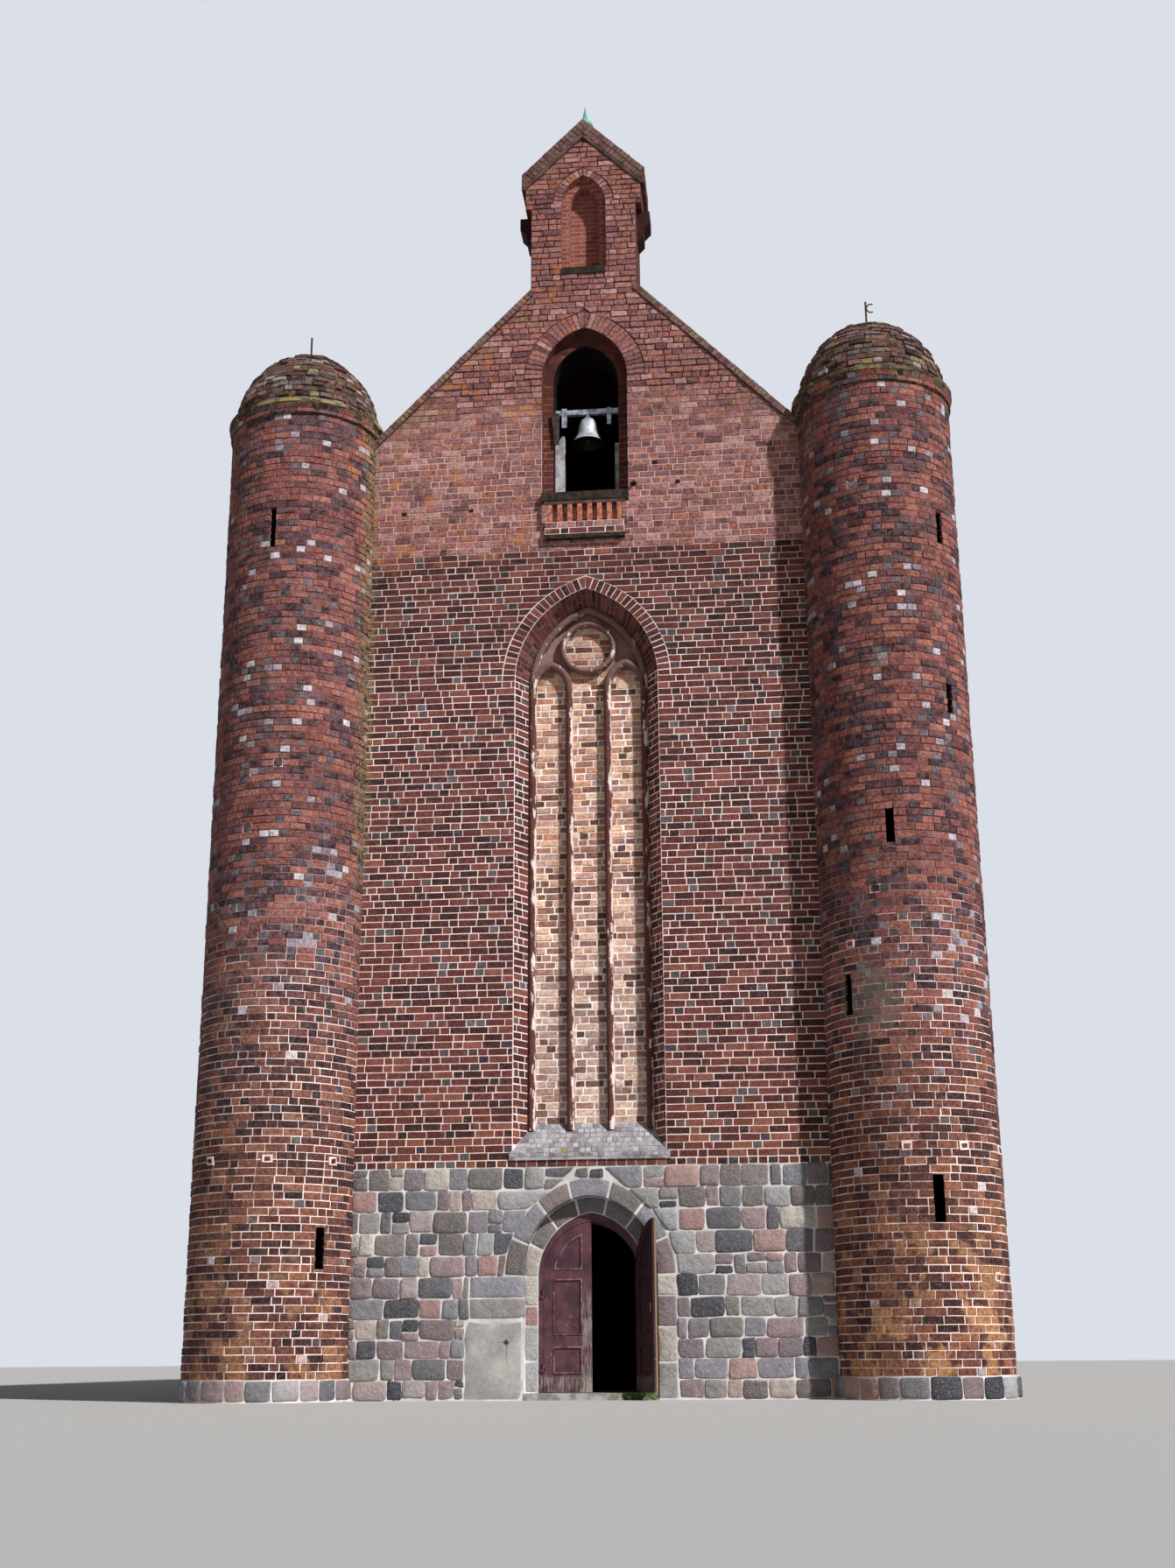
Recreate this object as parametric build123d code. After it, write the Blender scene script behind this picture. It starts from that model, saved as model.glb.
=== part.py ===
# A brick chapel with a granite foot, built as a mason would set it up, in millimetres.
# X runs across the front to the right as one faces it, Y runs from the front into the nave, Z is up.
# The pieces are drawn with Y = 0 on the front wall's face, and each is moved so that the origin
# ends up at the middle of the footprint, at ground level.

import os
from math import atan2, cos, radians, sin, sqrt

from build123d import *

# Heights of the front, each measured from the one below it
granite_top = 3200
window_shaft = 7500
window_rise = 1526
over_window = 674
ledge_rise = 340
parapet_height = 630
bell_shaft = 2130
bell_rise = 900
over_bell = 770
gable_drop = 2500
gable_foot_x = 3300
turret_drop = 130

# Walls
front_wall = 900
side_wall = 900
nave_half = 4650
bay = 4700
bays = 4

# Round stair turrets
turret_y = 160
turret_radius = 1200
turret_wall = 480
turret_fit = 1
plinth_step = 40
plinth_top = 300
cornice_reach = 74
cornice_height = 230
cornice_bead = 45
cornice_fillet = 30
cornice_roll = (80, 160)
dome_inset = 40
dome_height = 1360
dome_crown = 900
dome_wall = 240
spike_radius = 16
spike_length = 480
vane_length = 540
vane_stub_radius = 11
vane_hook_radius = 75
vane_hook_drop = 120
vane_hook_span = 116
# Each slit: turret side, bearing from straight ahead, foot, head, width
slits = [
    (-1, -8.4, 12700, 13390, 80),
    (-1, 47.8, 1770, 2350, 130),
    (1, 45.3, 12360, 12910, 110),
    (1, 44.1, 9630, 10140, 110),
    (1, -8.0, 7610, 8150, 110),
    (1, -45.5, 5180, 5780, 110),
    (1, 76.0, 4490, 5250, 110),
    (1, 10.2, 2280, 2920, 130),
]
slit_splay = 3
slit_over = 60

# Doorway, in two orders of granite
door_spring = 1680
outer_half = 960
outer_lift = 100
outer_rise = 1020
outer_depth = 250
voussoir = 266
inner_half = 765
inner_rise = 890
threshold_top = 95
frame_width = 70
frame_head = 125
frame_depth = 110
frame_fit = 2
stop_width = 30
stop_depth = 34

# Door leaves and their hinges
leaf_thick = 60
leaf_gap = 8
leaf_foot_gap = 10
leaf_meeting_gap = 12
leaf_open_angle = 115
hinge_out = 20
hinge_set = 2
hinge_heights = (420, 1420)
hinge_pin = 8
hinge_barrel = 13
hinge_strap = 4
hinge_leaf = 80
hinge_seat = 40
hinge_fit = 0.3
hinge_flap = 45
panel_sink = 14
stile = 145
lower_panel = (360, 710)
middle_panel = (880, 1635)
upper_panel_lift = 100

# Blind window
window_half = 1120
splay_depth = 300
splay_width = 185
panel_depth = 400
roll = 110
mullion_x = 300
light_rise = 300
light_steepness = 1.5
ring_rise = 630
ring_radius = 440
ring_bar = 80
sill_under_rise = 100
sill_front_rise = 200
sill_back_rise = 660
sill_nose = 30
sill_ear = 50

# Bell opening
bell_half = 700
bell_inner_half = 540
bell_order = 200
bell_inner_rise = 680
bell_sill_thick = 150
ledge_thick = 180
ledge_half = 640
parapet_reach = 110
baluster_count = 8
baluster_width = 75
baluster_set = 15

# Bell and its hanging
bell_y = 600
beam_drop = 345
beam_height = 90
beam_depth = 70
pivot_drop = 95
lug_thick = 30
lug_reach = 32
clevis_gap = 6
clevis_plate = 12
clevis_half = 26
clevis_seat = 4
pin_radius = 10
pin_fit = 0.3
pin_end = 8
crown_drop = 60
bell_height = 420
bell_radius = 265
bell_wall = 22
# Outside of the bell from mouth to crown, in shares of its radius and height
bell_curve = ((1, 0), (0.86, 0.14), (0.66, 0.42), (0.56, 0.78), (0.42, 1))
clapper_ball = 34
clapper_rod = 9
clapper_lift = 41
post_widths = (150, 90)
post_depth = 150
post_height = 1160

# Gable coping and bell-cote
coping_thick = 160
coping_nose = 40
cote_half = 890
cote_head_reach = 95
cote_shaft = 1570
cote_head_height = 380
kneeler_reach = 160
cote_rise = 1350
cote_coping = 290
niche_half = 370
niche_lift = 380
niche_shaft = 1250
niche_rise = 550
niche_step = 120
niche_step_depth = 110
niche_depth = 320
niche_sill = 120
niche_sill_reach = 40
corbel_reach = 220
corbel_drop = 590
corbel_steps = (120, 260, 380)
corbel_front = 250
corbel_back = 650

# Finial
finial_height = 590
finial_seat = 45
finial_collar = 95
finial_collar_radius = 75
finial_neck = 60
finial_bulb = 142
finial_tip = 8

# Roof
roof_drop = 350
roof_thick = 250
eaves_out = 250
eaves_course = 140
eaves_band = 308
ridge_width = 130
ridge_shoulder = (104, 28)
ridge_height = 70

# Nave sides, floor and windows
floor_top = 95
nave_window_half = 760
nave_window_foot = 4700
nave_window_shaft = 5500
nave_window_rise = 1100
nave_roll = 90
nave_mullion_x = 250
nave_light_rise = 350
nave_ring_rise = 430
nave_ring_radius = 340
nave_tracery_depth = 110
nave_tracery_in = 400
glass_thick = 12
glass_fit = 2
buttress_width = 700
buttress_foot = 750
buttress_upper = 500
buttress_set = (6500, 7000)
buttress_top = (10500, 11500)
rear_recess = 150

# How far a cutting shape runs past what it cuts
past = 10

# Heights worked out from the sizes above
window_spring = granite_top + window_shaft
window_apex = window_spring + window_rise
window_band_top = window_apex + over_window
parapet_foot = window_band_top + ledge_rise
bell_sill_top = parapet_foot + parapet_height
bell_spring = bell_sill_top + bell_shaft
bell_apex = bell_spring + bell_rise
beam_z = bell_spring - beam_drop
pivot_z = beam_z - pivot_drop
bell_crown = pivot_z - crown_drop
bell_mouth = bell_crown - bell_height
gable_meets_bellcote = bell_apex + over_bell
gable_meets_turret = gable_meets_bellcote - gable_drop
shaft_top = gable_meets_turret - turret_drop
dome_foot = shaft_top + cornice_height
dome_top = dome_foot + dome_height
niche_foot = gable_meets_bellcote + niche_lift
niche_spring = niche_foot + niche_shaft
niche_apex = niche_spring + niche_rise
cote_head = gable_meets_bellcote + cote_shaft
corbel_foot = cote_head - corbel_drop
kneeler_foot = cote_head + cote_head_height
cote_apex = kneeler_foot + cote_rise
finial_top = cote_apex + finial_height
inner_apex = door_spring + inner_rise
outer_spring = door_spring + outer_lift
outer_apex = outer_spring + outer_rise
nave_window_spring = nave_window_foot + nave_window_shaft
nave_window_apex = nave_window_spring + nave_window_rise

# Places in plan worked out from the sizes above
turret_x = nave_half
seam_x = turret_x - sqrt(turret_radius**2 - turret_y**2)
turret_inner = turret_radius - turret_wall
corner_depth = turret_y + turret_radius
slope = gable_drop / (gable_foot_x - cote_half)
rear_inner = corner_depth + bays * bay
rear_face = rear_inner + front_wall
front_most = turret_y - turret_radius - cornice_reach
middle_y = (front_most + rear_face) / 2
nave_inner = nave_half - side_wall
cote_head_half = cote_half + cote_head_reach
kneeler_half = cote_half + kneeler_reach
window_inner = window_half - splay_width
hinge_x = inner_half - frame_width + hinge_set
hinge_y = outer_depth - hinge_out
leaf_half = hinge_x - leaf_gap
leaf_apex = inner_apex - frame_head - leaf_gap


def coping_line(x):
    """Height of the gable coping's top at a distance x from the middle."""
    return gable_meets_bellcote - (abs(x) - cote_half) * slope


def roof_line(x):
    return coping_line(x) - roof_drop


def under_roof(x):
    return roof_line(x) - roof_thick


def arch_circle(half, spring, apex):
    """Radius and centre of the right-hand arc of a pointed arch."""
    rise = apex - spring
    radius = (half**2 + rise**2) / (2 * half)
    return radius, half - radius


def inset_apex(half, spring, apex, inset):
    """Apex of the arch drawn about the same centres, a given width further in."""
    radius, centre = arch_circle(half, spring, apex)
    return spring + sqrt((radius - inset) ** 2 - centre**2)


def pointed(half, foot, spring, apex, x=0):
    """An upright opening with a pointed head, as a flat face: x across and y up."""
    radius, centre = arch_circle(half, spring, apex)
    turn = atan2(apex - spring, -centre) / 2
    reach = centre + radius * cos(turn)
    rise = spring + radius * sin(turn)
    left = ThreePointArc((x - half, spring), (x - reach, rise), (x, apex))
    right = ThreePointArc((x, apex), (x + reach, rise), (x + half, spring))
    jambs = [Line((x - half, foot), (x - half, spring)), Line((x + half, spring), (x + half, foot))]
    return make_face([jambs[0], left, right, jambs[1], Line((x + half, foot), (x - half, foot))])


def outline(*points):
    return make_face(Polyline(*points, close=True))


def facing(face, near, far):
    """Push a flat face drawn as the front is seen into a solid from Y = near to Y = far."""
    plane = Plane(origin=(0, far, 0), x_dir=(1, 0, 0), z_dir=(0, -1, 0))
    return extrude(plane * face, amount=far - near, dir=(0, -1, 0))


def sideways(face, left, right):
    """Push a face drawn with Y across and Z up into a solid from X = left to X = right."""
    plane = Plane(origin=(left, 0, 0), x_dir=(0, 1, 0), z_dir=(1, 0, 0))
    return extrude(plane * face, amount=right - left, dir=(1, 0, 0))


def block(x0, x1, y0, y1, z0, z1):
    return Pos((x0 + x1) / 2, (y0 + y1) / 2, (z0 + z1) / 2) * Box(x1 - x0, y1 - y0, z1 - z0)


def upright(face, foot, head):
    """Raise a plan drawn flat into a solid."""
    return extrude(Pos(0, 0, foot) * face, amount=head - foot, dir=(0, 0, 1))


def drum(radius, foot, head, x=0, y=0):
    return Pos(x, y, (foot + head) / 2) * Cylinder(radius, head - foot)


def mirrored(shape):
    return mirror(shape, Plane.YZ)


def together(pieces):
    """Separate solids that share one node."""
    return Part() + list(pieces)


# Granite foot and the doorway


def granite_wall_right():
    """The granite beside the doorway with its two jambs, one set back behind the other."""
    wall = block(outer_half + voussoir, seam_x, 0, front_wall, 0, granite_top)
    jamb = block(outer_half, outer_half + voussoir, 0, front_wall, 0, door_spring)
    inner = block(inner_half, outer_half, outer_depth, front_wall, 0, door_spring)
    return wall + jamb + inner


def arch_back():
    """The line where the voussoirs end, from the springing up."""
    return pointed(outer_half + voussoir, door_spring, door_spring + 1, outer_apex + voussoir)


def portal_arch():
    """Voussoirs of the outer order, with the inner order set back behind them."""
    opening = pointed(outer_half, door_spring - past, outer_spring, outer_apex)
    inner = pointed(inner_half, door_spring - past, door_spring, inner_apex)
    outer = facing(arch_back() - opening, 0, outer_depth)
    return outer + facing(arch_back() - inner, outer_depth, front_wall)


def granite_over_door():
    half = outer_half + voussoir
    wall = outline((-half, door_spring), (half, door_spring), (half, granite_top), (-half, granite_top))
    return facing(wall - arch_back(), 0, front_wall)


def door_threshold():
    step = block(-outer_half, outer_half, 0, outer_depth, 0, threshold_top)
    return step + block(-inner_half, inner_half, outer_depth, front_wall, 0, threshold_top)


def door_frame():
    """Timber frame in the inner order, with the stop that the leaves close against."""
    half = inner_half - frame_fit
    apex = inner_apex - frame_fit
    clear = inner_half - frame_width
    head = inner_apex - frame_head
    outer = pointed(half, threshold_top, door_spring, apex)
    rim = outer - pointed(clear, threshold_top - past, door_spring, head)
    shut = pointed(clear - stop_width, threshold_top - past, door_spring, head - stop_width)
    back = outer_depth + frame_depth
    frame = facing(rim, outer_depth, back) + facing(outer - shut, back - stop_depth, back)
    for height in hinge_heights:
        seat = pintle(height)
        frame += seat
        frame += mirrored(seat)
    return frame


def pintle(height):
    """Pin and lower knuckle of a hinge, on the face of the frame at the right-hand jamb."""
    low = height - hinge_seat
    pin = drum(hinge_pin, low, height + hinge_leaf, hinge_x, hinge_y)
    knuckle = drum(hinge_barrel, low, height, hinge_x, hinge_y)
    near = hinge_y - hinge_strap
    flap = block(hinge_x - hinge_strap, hinge_x + hinge_flap, near, outer_depth, low, height)
    return pin + knuckle + flap


def hinge_eye(height):
    """Upper knuckle of a hinge, on the face of the shut leaf, which rests on the lower one."""
    low = height + hinge_fit
    high = height + hinge_leaf
    eye = drum(hinge_barrel, low, high, hinge_x, hinge_y)
    eye += block(hinge_x - hinge_flap, hinge_x, hinge_y - hinge_strap, outer_depth, low, high)
    return eye - drum(hinge_pin + hinge_fit, low - past, high + past, hinge_x, hinge_y)


def leaf_closed():
    """The right-hand leaf as it stands when shut: framed, with three sunk panels on each face."""
    front = outer_depth
    back = front + leaf_thick
    meeting = leaf_meeting_gap / 2
    whole = pointed(leaf_half, threshold_top + leaf_foot_gap, door_spring, leaf_apex)
    keep = outline((meeting, 0), (leaf_half, 0), (leaf_half, leaf_apex), (meeting, leaf_apex))
    leaf = facing(whole & keep, front, back)
    left = meeting + stile
    right = leaf_half - stile
    foot = door_spring + upper_panel_lift
    arched = pointed(right, threshold_top, door_spring, leaf_apex - stile)
    panels = [arched & outline((left, foot), (right, foot), (right, leaf_apex), (left, leaf_apex))]
    for z0, z1 in (lower_panel, middle_panel):
        panels.append(outline((left, z0), (right, z0), (right, z1), (left, z1)))
    for panel in panels:
        leaf -= facing(panel, front, front + panel_sink)
        leaf -= facing(panel, back - panel_sink, back)
    for height in hinge_heights:
        leaf += hinge_eye(height)
    return leaf


def turned(shape, x, y, angle):
    """Turn a solid about an upright line through (x, y)."""
    return Pos(x, y, 0) * Rot(0, 0, angle) * Pos(-x, -y, 0) * shape


def door_leaf_left():
    return mirrored(leaf_closed())


def door_leaf_right():
    return turned(leaf_closed(), hinge_x, hinge_y, leaf_open_angle)


# Brick front wall with the blind window


def wall_beside_window():
    plan = outline(
        (window_half, 0),
        (seam_x, 0),
        (seam_x, front_wall),
        (window_inner, front_wall),
        (window_inner, splay_depth),
    )
    return upright(plan, granite_top, window_spring)


def window_recess(foot):
    """The sunk shape of the blind window: splayed at first, then straight back to the panel."""
    head = inset_apex(window_half, window_spring, window_apex, splay_width)
    near = Plane(origin=(0, 0, 0), x_dir=(1, 0, 0), z_dir=(0, -1, 0))
    far = Plane(origin=(0, splay_depth, 0), x_dir=(1, 0, 0), z_dir=(0, -1, 0))
    wide = near * pointed(window_half, foot, window_spring, window_apex)
    narrow = far * pointed(window_inner, foot, window_spring, head)
    sunk = facing(pointed(window_inner, foot, window_spring, head), splay_depth, panel_depth)
    return loft([wide, narrow], ruled=True) + sunk


def wall_over_window():
    wall = block(-seam_x, seam_x, 0, front_wall, window_spring, window_band_top)
    return wall - window_recess(window_spring - past)


def blind_window_panel():
    return block(-window_inner, window_inner, panel_depth, front_wall, granite_top, window_spring)


def blind_window_sill():
    """Sloped bed of bricks on edge that sheds the rain, with a nose in front of the wall."""
    ear = window_half + sill_ear
    under = granite_top + sill_under_rise
    back = granite_top + sill_back_rise
    profile = outline(
        (-sill_nose, under),
        (-sill_nose, granite_top + sill_front_rise),
        (panel_depth, back),
        (panel_depth, granite_top),
        (0, granite_top),
        (0, under),
    )
    half_plan = [
        (ear, -sill_nose),
        (ear, 0),
        (window_half, 0),
        (window_inner, splay_depth),
        (window_inner, panel_depth),
    ]
    other_half = [(-x, y) for x, y in reversed(half_plan)]
    plan = outline(*half_plan, *other_half)
    return sideways(profile, -ear, ear) & upright(plan, granite_top, back)


def tracery(half, foot, spring, apex, bar, light_top, ring_centre, ring_outer, mullion):
    """Rolls round the edge, two mullions, pointed side lights and a ring above the middle one."""
    edge = pointed(half, foot, spring, apex)
    inner_apex_z = inset_apex(half, spring, apex, bar)
    field = pointed(half - bar, foot - past, spring, inner_apex_z)
    rolls = edge - field
    bars = Sketch() + rolls
    light_half = (half - bar - mullion - bar / 2) / 2
    light_x = mullion + bar / 2 + light_half
    light_spring = light_top - light_steepness * light_half
    hood_top = light_top + bar
    for side in (-1, 1):
        hood = pointed(light_half + bar, foot, light_spring, hood_top, side * light_x)
        light = pointed(light_half, foot - past, light_spring, light_top, side * light_x)
        bars += (hood - light) & edge
    middle = Pos(0, ring_centre) * Circle(ring_outer - ring_bar)
    bars += (Pos(0, ring_centre) * Circle(ring_outer) - middle) & edge
    return bars - middle


def blind_window_tracery():
    head = inset_apex(window_half, window_spring, window_apex, splay_width)
    foot = granite_top + sill_front_rise
    sizes = (roll, window_spring + light_rise, window_spring + ring_rise, ring_radius, mullion_x)
    bars = tracery(window_inner, foot, window_spring, head, *sizes)
    return facing(bars, splay_depth, panel_depth) - blind_window_sill()


# Gable with the bell opening


def gable_side(inner):
    """Outline of the gable to the right of the bell opening, under the coping."""
    foot = window_band_top
    return outline(
        (inner, foot),
        (seam_x, foot),
        (seam_x, coping_line(seam_x) - coping_thick),
        (cote_half, gable_meets_bellcote - coping_thick),
        (inner, gable_meets_bellcote - coping_thick),
    )


def gable_right():
    outer = facing(gable_side(bell_half), 0, bell_order)
    return outer + facing(gable_side(bell_inner_half), bell_order, front_wall)


def gable_below_bell():
    """Wall under the bell opening, up to the sill, with the mossy ledge in front of it."""
    back = bell_sill_top - bell_sill_thick
    wide = block(-bell_half, bell_half, 0, bell_order, window_band_top, back)
    narrow = block(-bell_inner_half, bell_inner_half, bell_order, front_wall, window_band_top, back)
    ledge = block(-ledge_half, ledge_half, -parapet_reach, 0, parapet_foot - ledge_thick, parapet_foot)
    return wide + narrow + ledge


def gable_over_bell():
    """Stepped arch over the bell and the wall above it, up to the foot of the bell-cote."""
    top = gable_meets_bellcote - coping_thick
    wide = outline((-bell_half, bell_spring), (bell_half, bell_spring), (bell_half, top), (-bell_half, top))
    half = bell_inner_half
    narrow = outline((-half, bell_spring), (half, bell_spring), (half, top), (-half, top))
    outer_arch = pointed(bell_half, bell_spring - past, bell_spring, bell_apex)
    inner_arch = pointed(half, bell_spring - past, bell_spring, bell_spring + bell_inner_rise)
    return facing(wide - outer_arch, 0, bell_order) + facing(narrow - inner_arch, bell_order, front_wall)


def bell_sill():
    under = bell_sill_top - bell_sill_thick
    half = bell_inner_half
    nose = block(-bell_half, bell_half, -parapet_reach, bell_order, under, bell_sill_top)
    return nose + block(-half, half, bell_order, front_wall, under, bell_sill_top)


def bell_balustrade():
    """Row of small brick balusters between the ledge and the sill."""
    pitch = 2 * ledge_half / baluster_count
    head = bell_sill_top - bell_sill_thick
    near = baluster_set - parapet_reach
    half = baluster_width / 2
    posts = []
    for i in range(baluster_count):
        x = -ledge_half + pitch * (i + 0.5)
        posts.append(block(x - half, x + half, near, 0, parapet_foot, head))
    return together(posts)


# Bell, beam and posts


def across_bell(radius, length, x=0):
    """A round bar or hole on the line that the bell swings about."""
    return Pos(x, bell_y, pivot_z) * Rot(0, 90, 0) * Cylinder(radius, length)


def bell_beam():
    """Steel beam across the opening, with the lug and pin that carry the bell."""
    half = bell_inner_half
    low = beam_z - beam_height / 2
    near = bell_y - beam_depth / 2
    beam = block(-half, half, near, near + beam_depth, low, low + beam_height)
    lug_near = bell_y - lug_reach
    lug = block(-lug_thick / 2, lug_thick / 2, lug_near, bell_y + lug_reach, pivot_z - lug_reach, low)
    reach = lug_thick / 2 + clevis_gap + clevis_plate + pin_end
    return beam + lug + across_bell(pin_radius, 2 * reach)


def clevis(side):
    """One of the two plates that stand on the bell's crown and hang on the pin."""
    x = side * (lug_thick / 2 + clevis_gap + clevis_plate / 2)
    near = bell_y - clevis_half
    far = bell_y + clevis_half
    plate = block(x - clevis_plate / 2, x + clevis_plate / 2, near, far, bell_crown - clevis_seat, pivot_z)
    plate += across_bell(clevis_half, clevis_plate, x)
    return plate - across_bell(pin_radius + pin_fit, 3 * clevis_plate, x)


def bell():
    """Cast bell, open at the mouth, with its clevis."""
    points = [(r * bell_radius, z * bell_height) for r, z in bell_curve]
    inside = [(x - bell_wall, y) for x, y in points[:-1]]
    inside.append((points[-1][0] - bell_wall, bell_height - bell_wall))
    crown = (0, bell_height)
    under_crown = (0, bell_height - bell_wall)
    edges = [Spline(*points), Line(points[-1], crown), Line(crown, under_crown)]
    edges += [Line(under_crown, inside[-1]), Spline(*inside), Line(inside[0], points[0])]
    section = Plane.XZ * make_face(edges)
    return Pos(0, bell_y, bell_mouth) * revolve(section, Axis.Z) + clevis(-1) + clevis(1)


def bell_clapper():
    ball_z = bell_mouth + clapper_lift
    rod = drum(clapper_rod, ball_z, bell_crown - bell_wall, 0, bell_y)
    return rod + Pos(0, bell_y, ball_z) * Sphere(clapper_ball)


def bell_posts():
    """Two upright timbers in the jambs, standing on the sill."""
    near = bell_y - post_depth / 2
    far = bell_y + post_depth / 2
    top = bell_sill_top + post_height
    left = block(-bell_inner_half, post_widths[0] - bell_inner_half, near, far, bell_sill_top, top)
    right = block(bell_inner_half - post_widths[1], bell_inner_half, near, far, bell_sill_top, top)
    return together([left, right])


# Coping and bell-cote


def coping_right():
    profile = outline(
        (seam_x, coping_line(seam_x)),
        (seam_x, coping_line(seam_x) - coping_thick),
        (cote_half, gable_meets_bellcote - coping_thick),
        (cote_half, gable_meets_bellcote),
    )
    return facing(profile, -coping_nose, front_wall + coping_nose)


def gable_copings():
    right = coping_right() - turret_drum(turret_radius + turret_fit)
    return together([right, mirrored(right)])


def cote_gable_apex():
    """Height at which the slopes of the small gable meet, under its coping."""
    steep = (cote_rise - cote_coping) / kneeler_half
    return kneeler_foot + steep * cote_head_half


def bellcote():
    """Narrow pier that rises from the gable, with a wider head, a pointed niche and a small gable."""
    foot = gable_meets_bellcote - coping_thick
    face = outline(
        (-cote_half, foot),
        (cote_half, foot),
        (cote_half, cote_head),
        (cote_head_half, cote_head),
        (cote_head_half, kneeler_foot),
        (0, cote_gable_apex()),
        (-cote_head_half, kneeler_foot),
        (-cote_head_half, cote_head),
        (-cote_half, cote_head),
    )
    pier = facing(face, 0, front_wall)
    pier -= facing(pointed(niche_half, niche_foot, niche_spring, niche_apex), 0, niche_step_depth)
    inner_head = inset_apex(niche_half, niche_spring, niche_apex, niche_step)
    inner = pointed(niche_half - niche_step, niche_foot, niche_spring, inner_head)
    return pier - facing(inner, niche_step_depth, niche_depth)


def bellcote_sill():
    return block(-niche_half, niche_half, -niche_sill_reach, 0, niche_foot - niche_sill, niche_foot)


def bellcote_coping():
    """Brick coping over the small gable, down to the kneelers at both sides."""
    profile = outline(
        (0, cote_gable_apex()),
        (cote_head_half, kneeler_foot),
        (kneeler_half, kneeler_foot),
        (kneeler_half, kneeler_foot + cote_coping),
        (0, cote_apex),
        (-kneeler_half, kneeler_foot + cote_coping),
        (-kneeler_half, kneeler_foot),
        (-cote_head_half, kneeler_foot),
    )
    return facing(profile, -coping_nose, front_wall + coping_nose)


def bellcote_corbels():
    """Stepped brackets set back on both flanks of the bell-cote."""
    outer = cote_half + corbel_reach
    step = corbel_reach / 2
    profile = outline(
        (cote_half, corbel_foot),
        (cote_half + step, corbel_foot + corbel_steps[0]),
        (cote_half + step, corbel_foot + corbel_steps[1]),
        (outer, corbel_foot + corbel_steps[2]),
        (outer, cote_head),
        (cote_half, cote_head),
    )
    right = facing(profile, corbel_front, corbel_back)
    return together([right, mirrored(right)])


def finial():
    """Turned copper finial: collar, onion bulb and spike."""
    height = finial_height
    b = finial_bulb
    belly = (b, 0.36 * height)
    waist = (0.3 * b, 0.62 * height)
    shoulder = (finial_neck, finial_collar)
    collar = (finial_collar_radius, finial_collar)
    edges = [
        Polyline((0, -finial_seat), (finial_collar_radius, -finial_seat), collar, shoulder),
        Spline(shoulder, belly, waist, tangents=[(0.6, 0.4), (-0.3, 1)]),
        Polyline(waist, (finial_tip, height), (0, height), (0, -finial_seat)),
    ]
    section = Plane.XZ * make_face(edges)
    turned_piece = Pos(0, front_wall / 2, cote_apex) * revolve(section, Axis.Z)
    return turned_piece - bellcote_coping()


# Turrets


def turret_drum(radius, foot=0, head=finial_top):
    return drum(radius, foot, head, turret_x, turret_y)


def turret_shell(foot):
    """Round wall of the right-hand turret from a given height up, hollow inside."""
    hollow = turret_drum(turret_inner, foot - past, shaft_top + past)
    return turret_drum(turret_radius, foot, shaft_top) - hollow


def slit_cut(bearing, foot, head, width):
    half = width / 2
    wide = half * slit_splay
    near = -turret_radius - slit_over
    far = slit_over - turret_inner
    plan = outline((-half, near), (half, near), (wide, far), (-wide, far))
    return Pos(turret_x, turret_y, 0) * Rot(0, 0, bearing) * upright(plan, foot, head)


def turret_front(side):
    """The part of the round wall that stands in front of the facade, with its slits."""
    shell = turret_shell(plinth_top) & block(0, 3 * turret_x, -2 * turret_x, 0, 0, shaft_top)
    for on, bearing, foot, head, width in slits:
        if on == side:
            shell -= slit_cut(side * bearing, foot, head, width)
    return shell if side > 0 else mirrored(shell)


def turret_flank(side):
    shell = turret_shell(plinth_top) & block(turret_x, 3 * turret_x, 0, 2 * turret_x, 0, shaft_top)
    return shell if side > 0 else mirrored(shell)


def turret_corner(side):
    """The part of the round wall that is bonded into the corner of the nave."""
    head = under_roof(nave_half)
    corner = block(seam_x, turret_x, 0, front_wall, 0, head)
    corner += block(nave_inner, turret_x, front_wall, corner_depth, 0, head)
    corner += turret_shell(0) & block(0, turret_x, 0, 2 * turret_x, 0, shaft_top)
    corner -= block(0, seam_x, 0, front_wall, 0, shaft_top)
    corner -= turret_drum(turret_inner, -past, shaft_top + past)
    return corner if side > 0 else mirrored(corner)


def turret_plinth(side):
    """Ring of granite blocks under the round wall."""
    outer = turret_radius + plinth_step
    ring = turret_drum(outer, 0, plinth_top) - turret_drum(turret_inner, -past, plinth_top + past)
    front = ring & block(0, 3 * turret_x, -2 * turret_x, 0, 0, plinth_top)
    flank = ring & block(turret_x, 3 * turret_x, 0, 2 * turret_x, 0, plinth_top)
    plinth = front + flank
    return plinth if side > 0 else mirrored(plinth)


def dome_arcs(inset):
    """Half section of the dome, a given thickness inside its face: a long arc and a round crown."""
    base = turret_radius - dome_inset
    over = dome_height - dome_crown
    side = base - dome_crown
    back = (over**2 - side**2) / (2 * side)
    long_radius = base + back - inset
    crown_radius = dome_crown - inset
    turn = atan2(over, back)
    joint = (-back + long_radius * cos(turn), dome_foot + long_radius * sin(turn))
    low = (-back + long_radius * cos(turn / 2), dome_foot + long_radius * sin(turn / 2))
    half_turn = (turn + radians(90)) / 2
    high = (crown_radius * cos(half_turn), dome_foot + over + crown_radius * sin(half_turn))
    return [
        ThreePointArc((base - inset, dome_foot), low, joint),
        ThreePointArc(joint, high, (0, dome_top - inset)),
    ]


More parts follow.
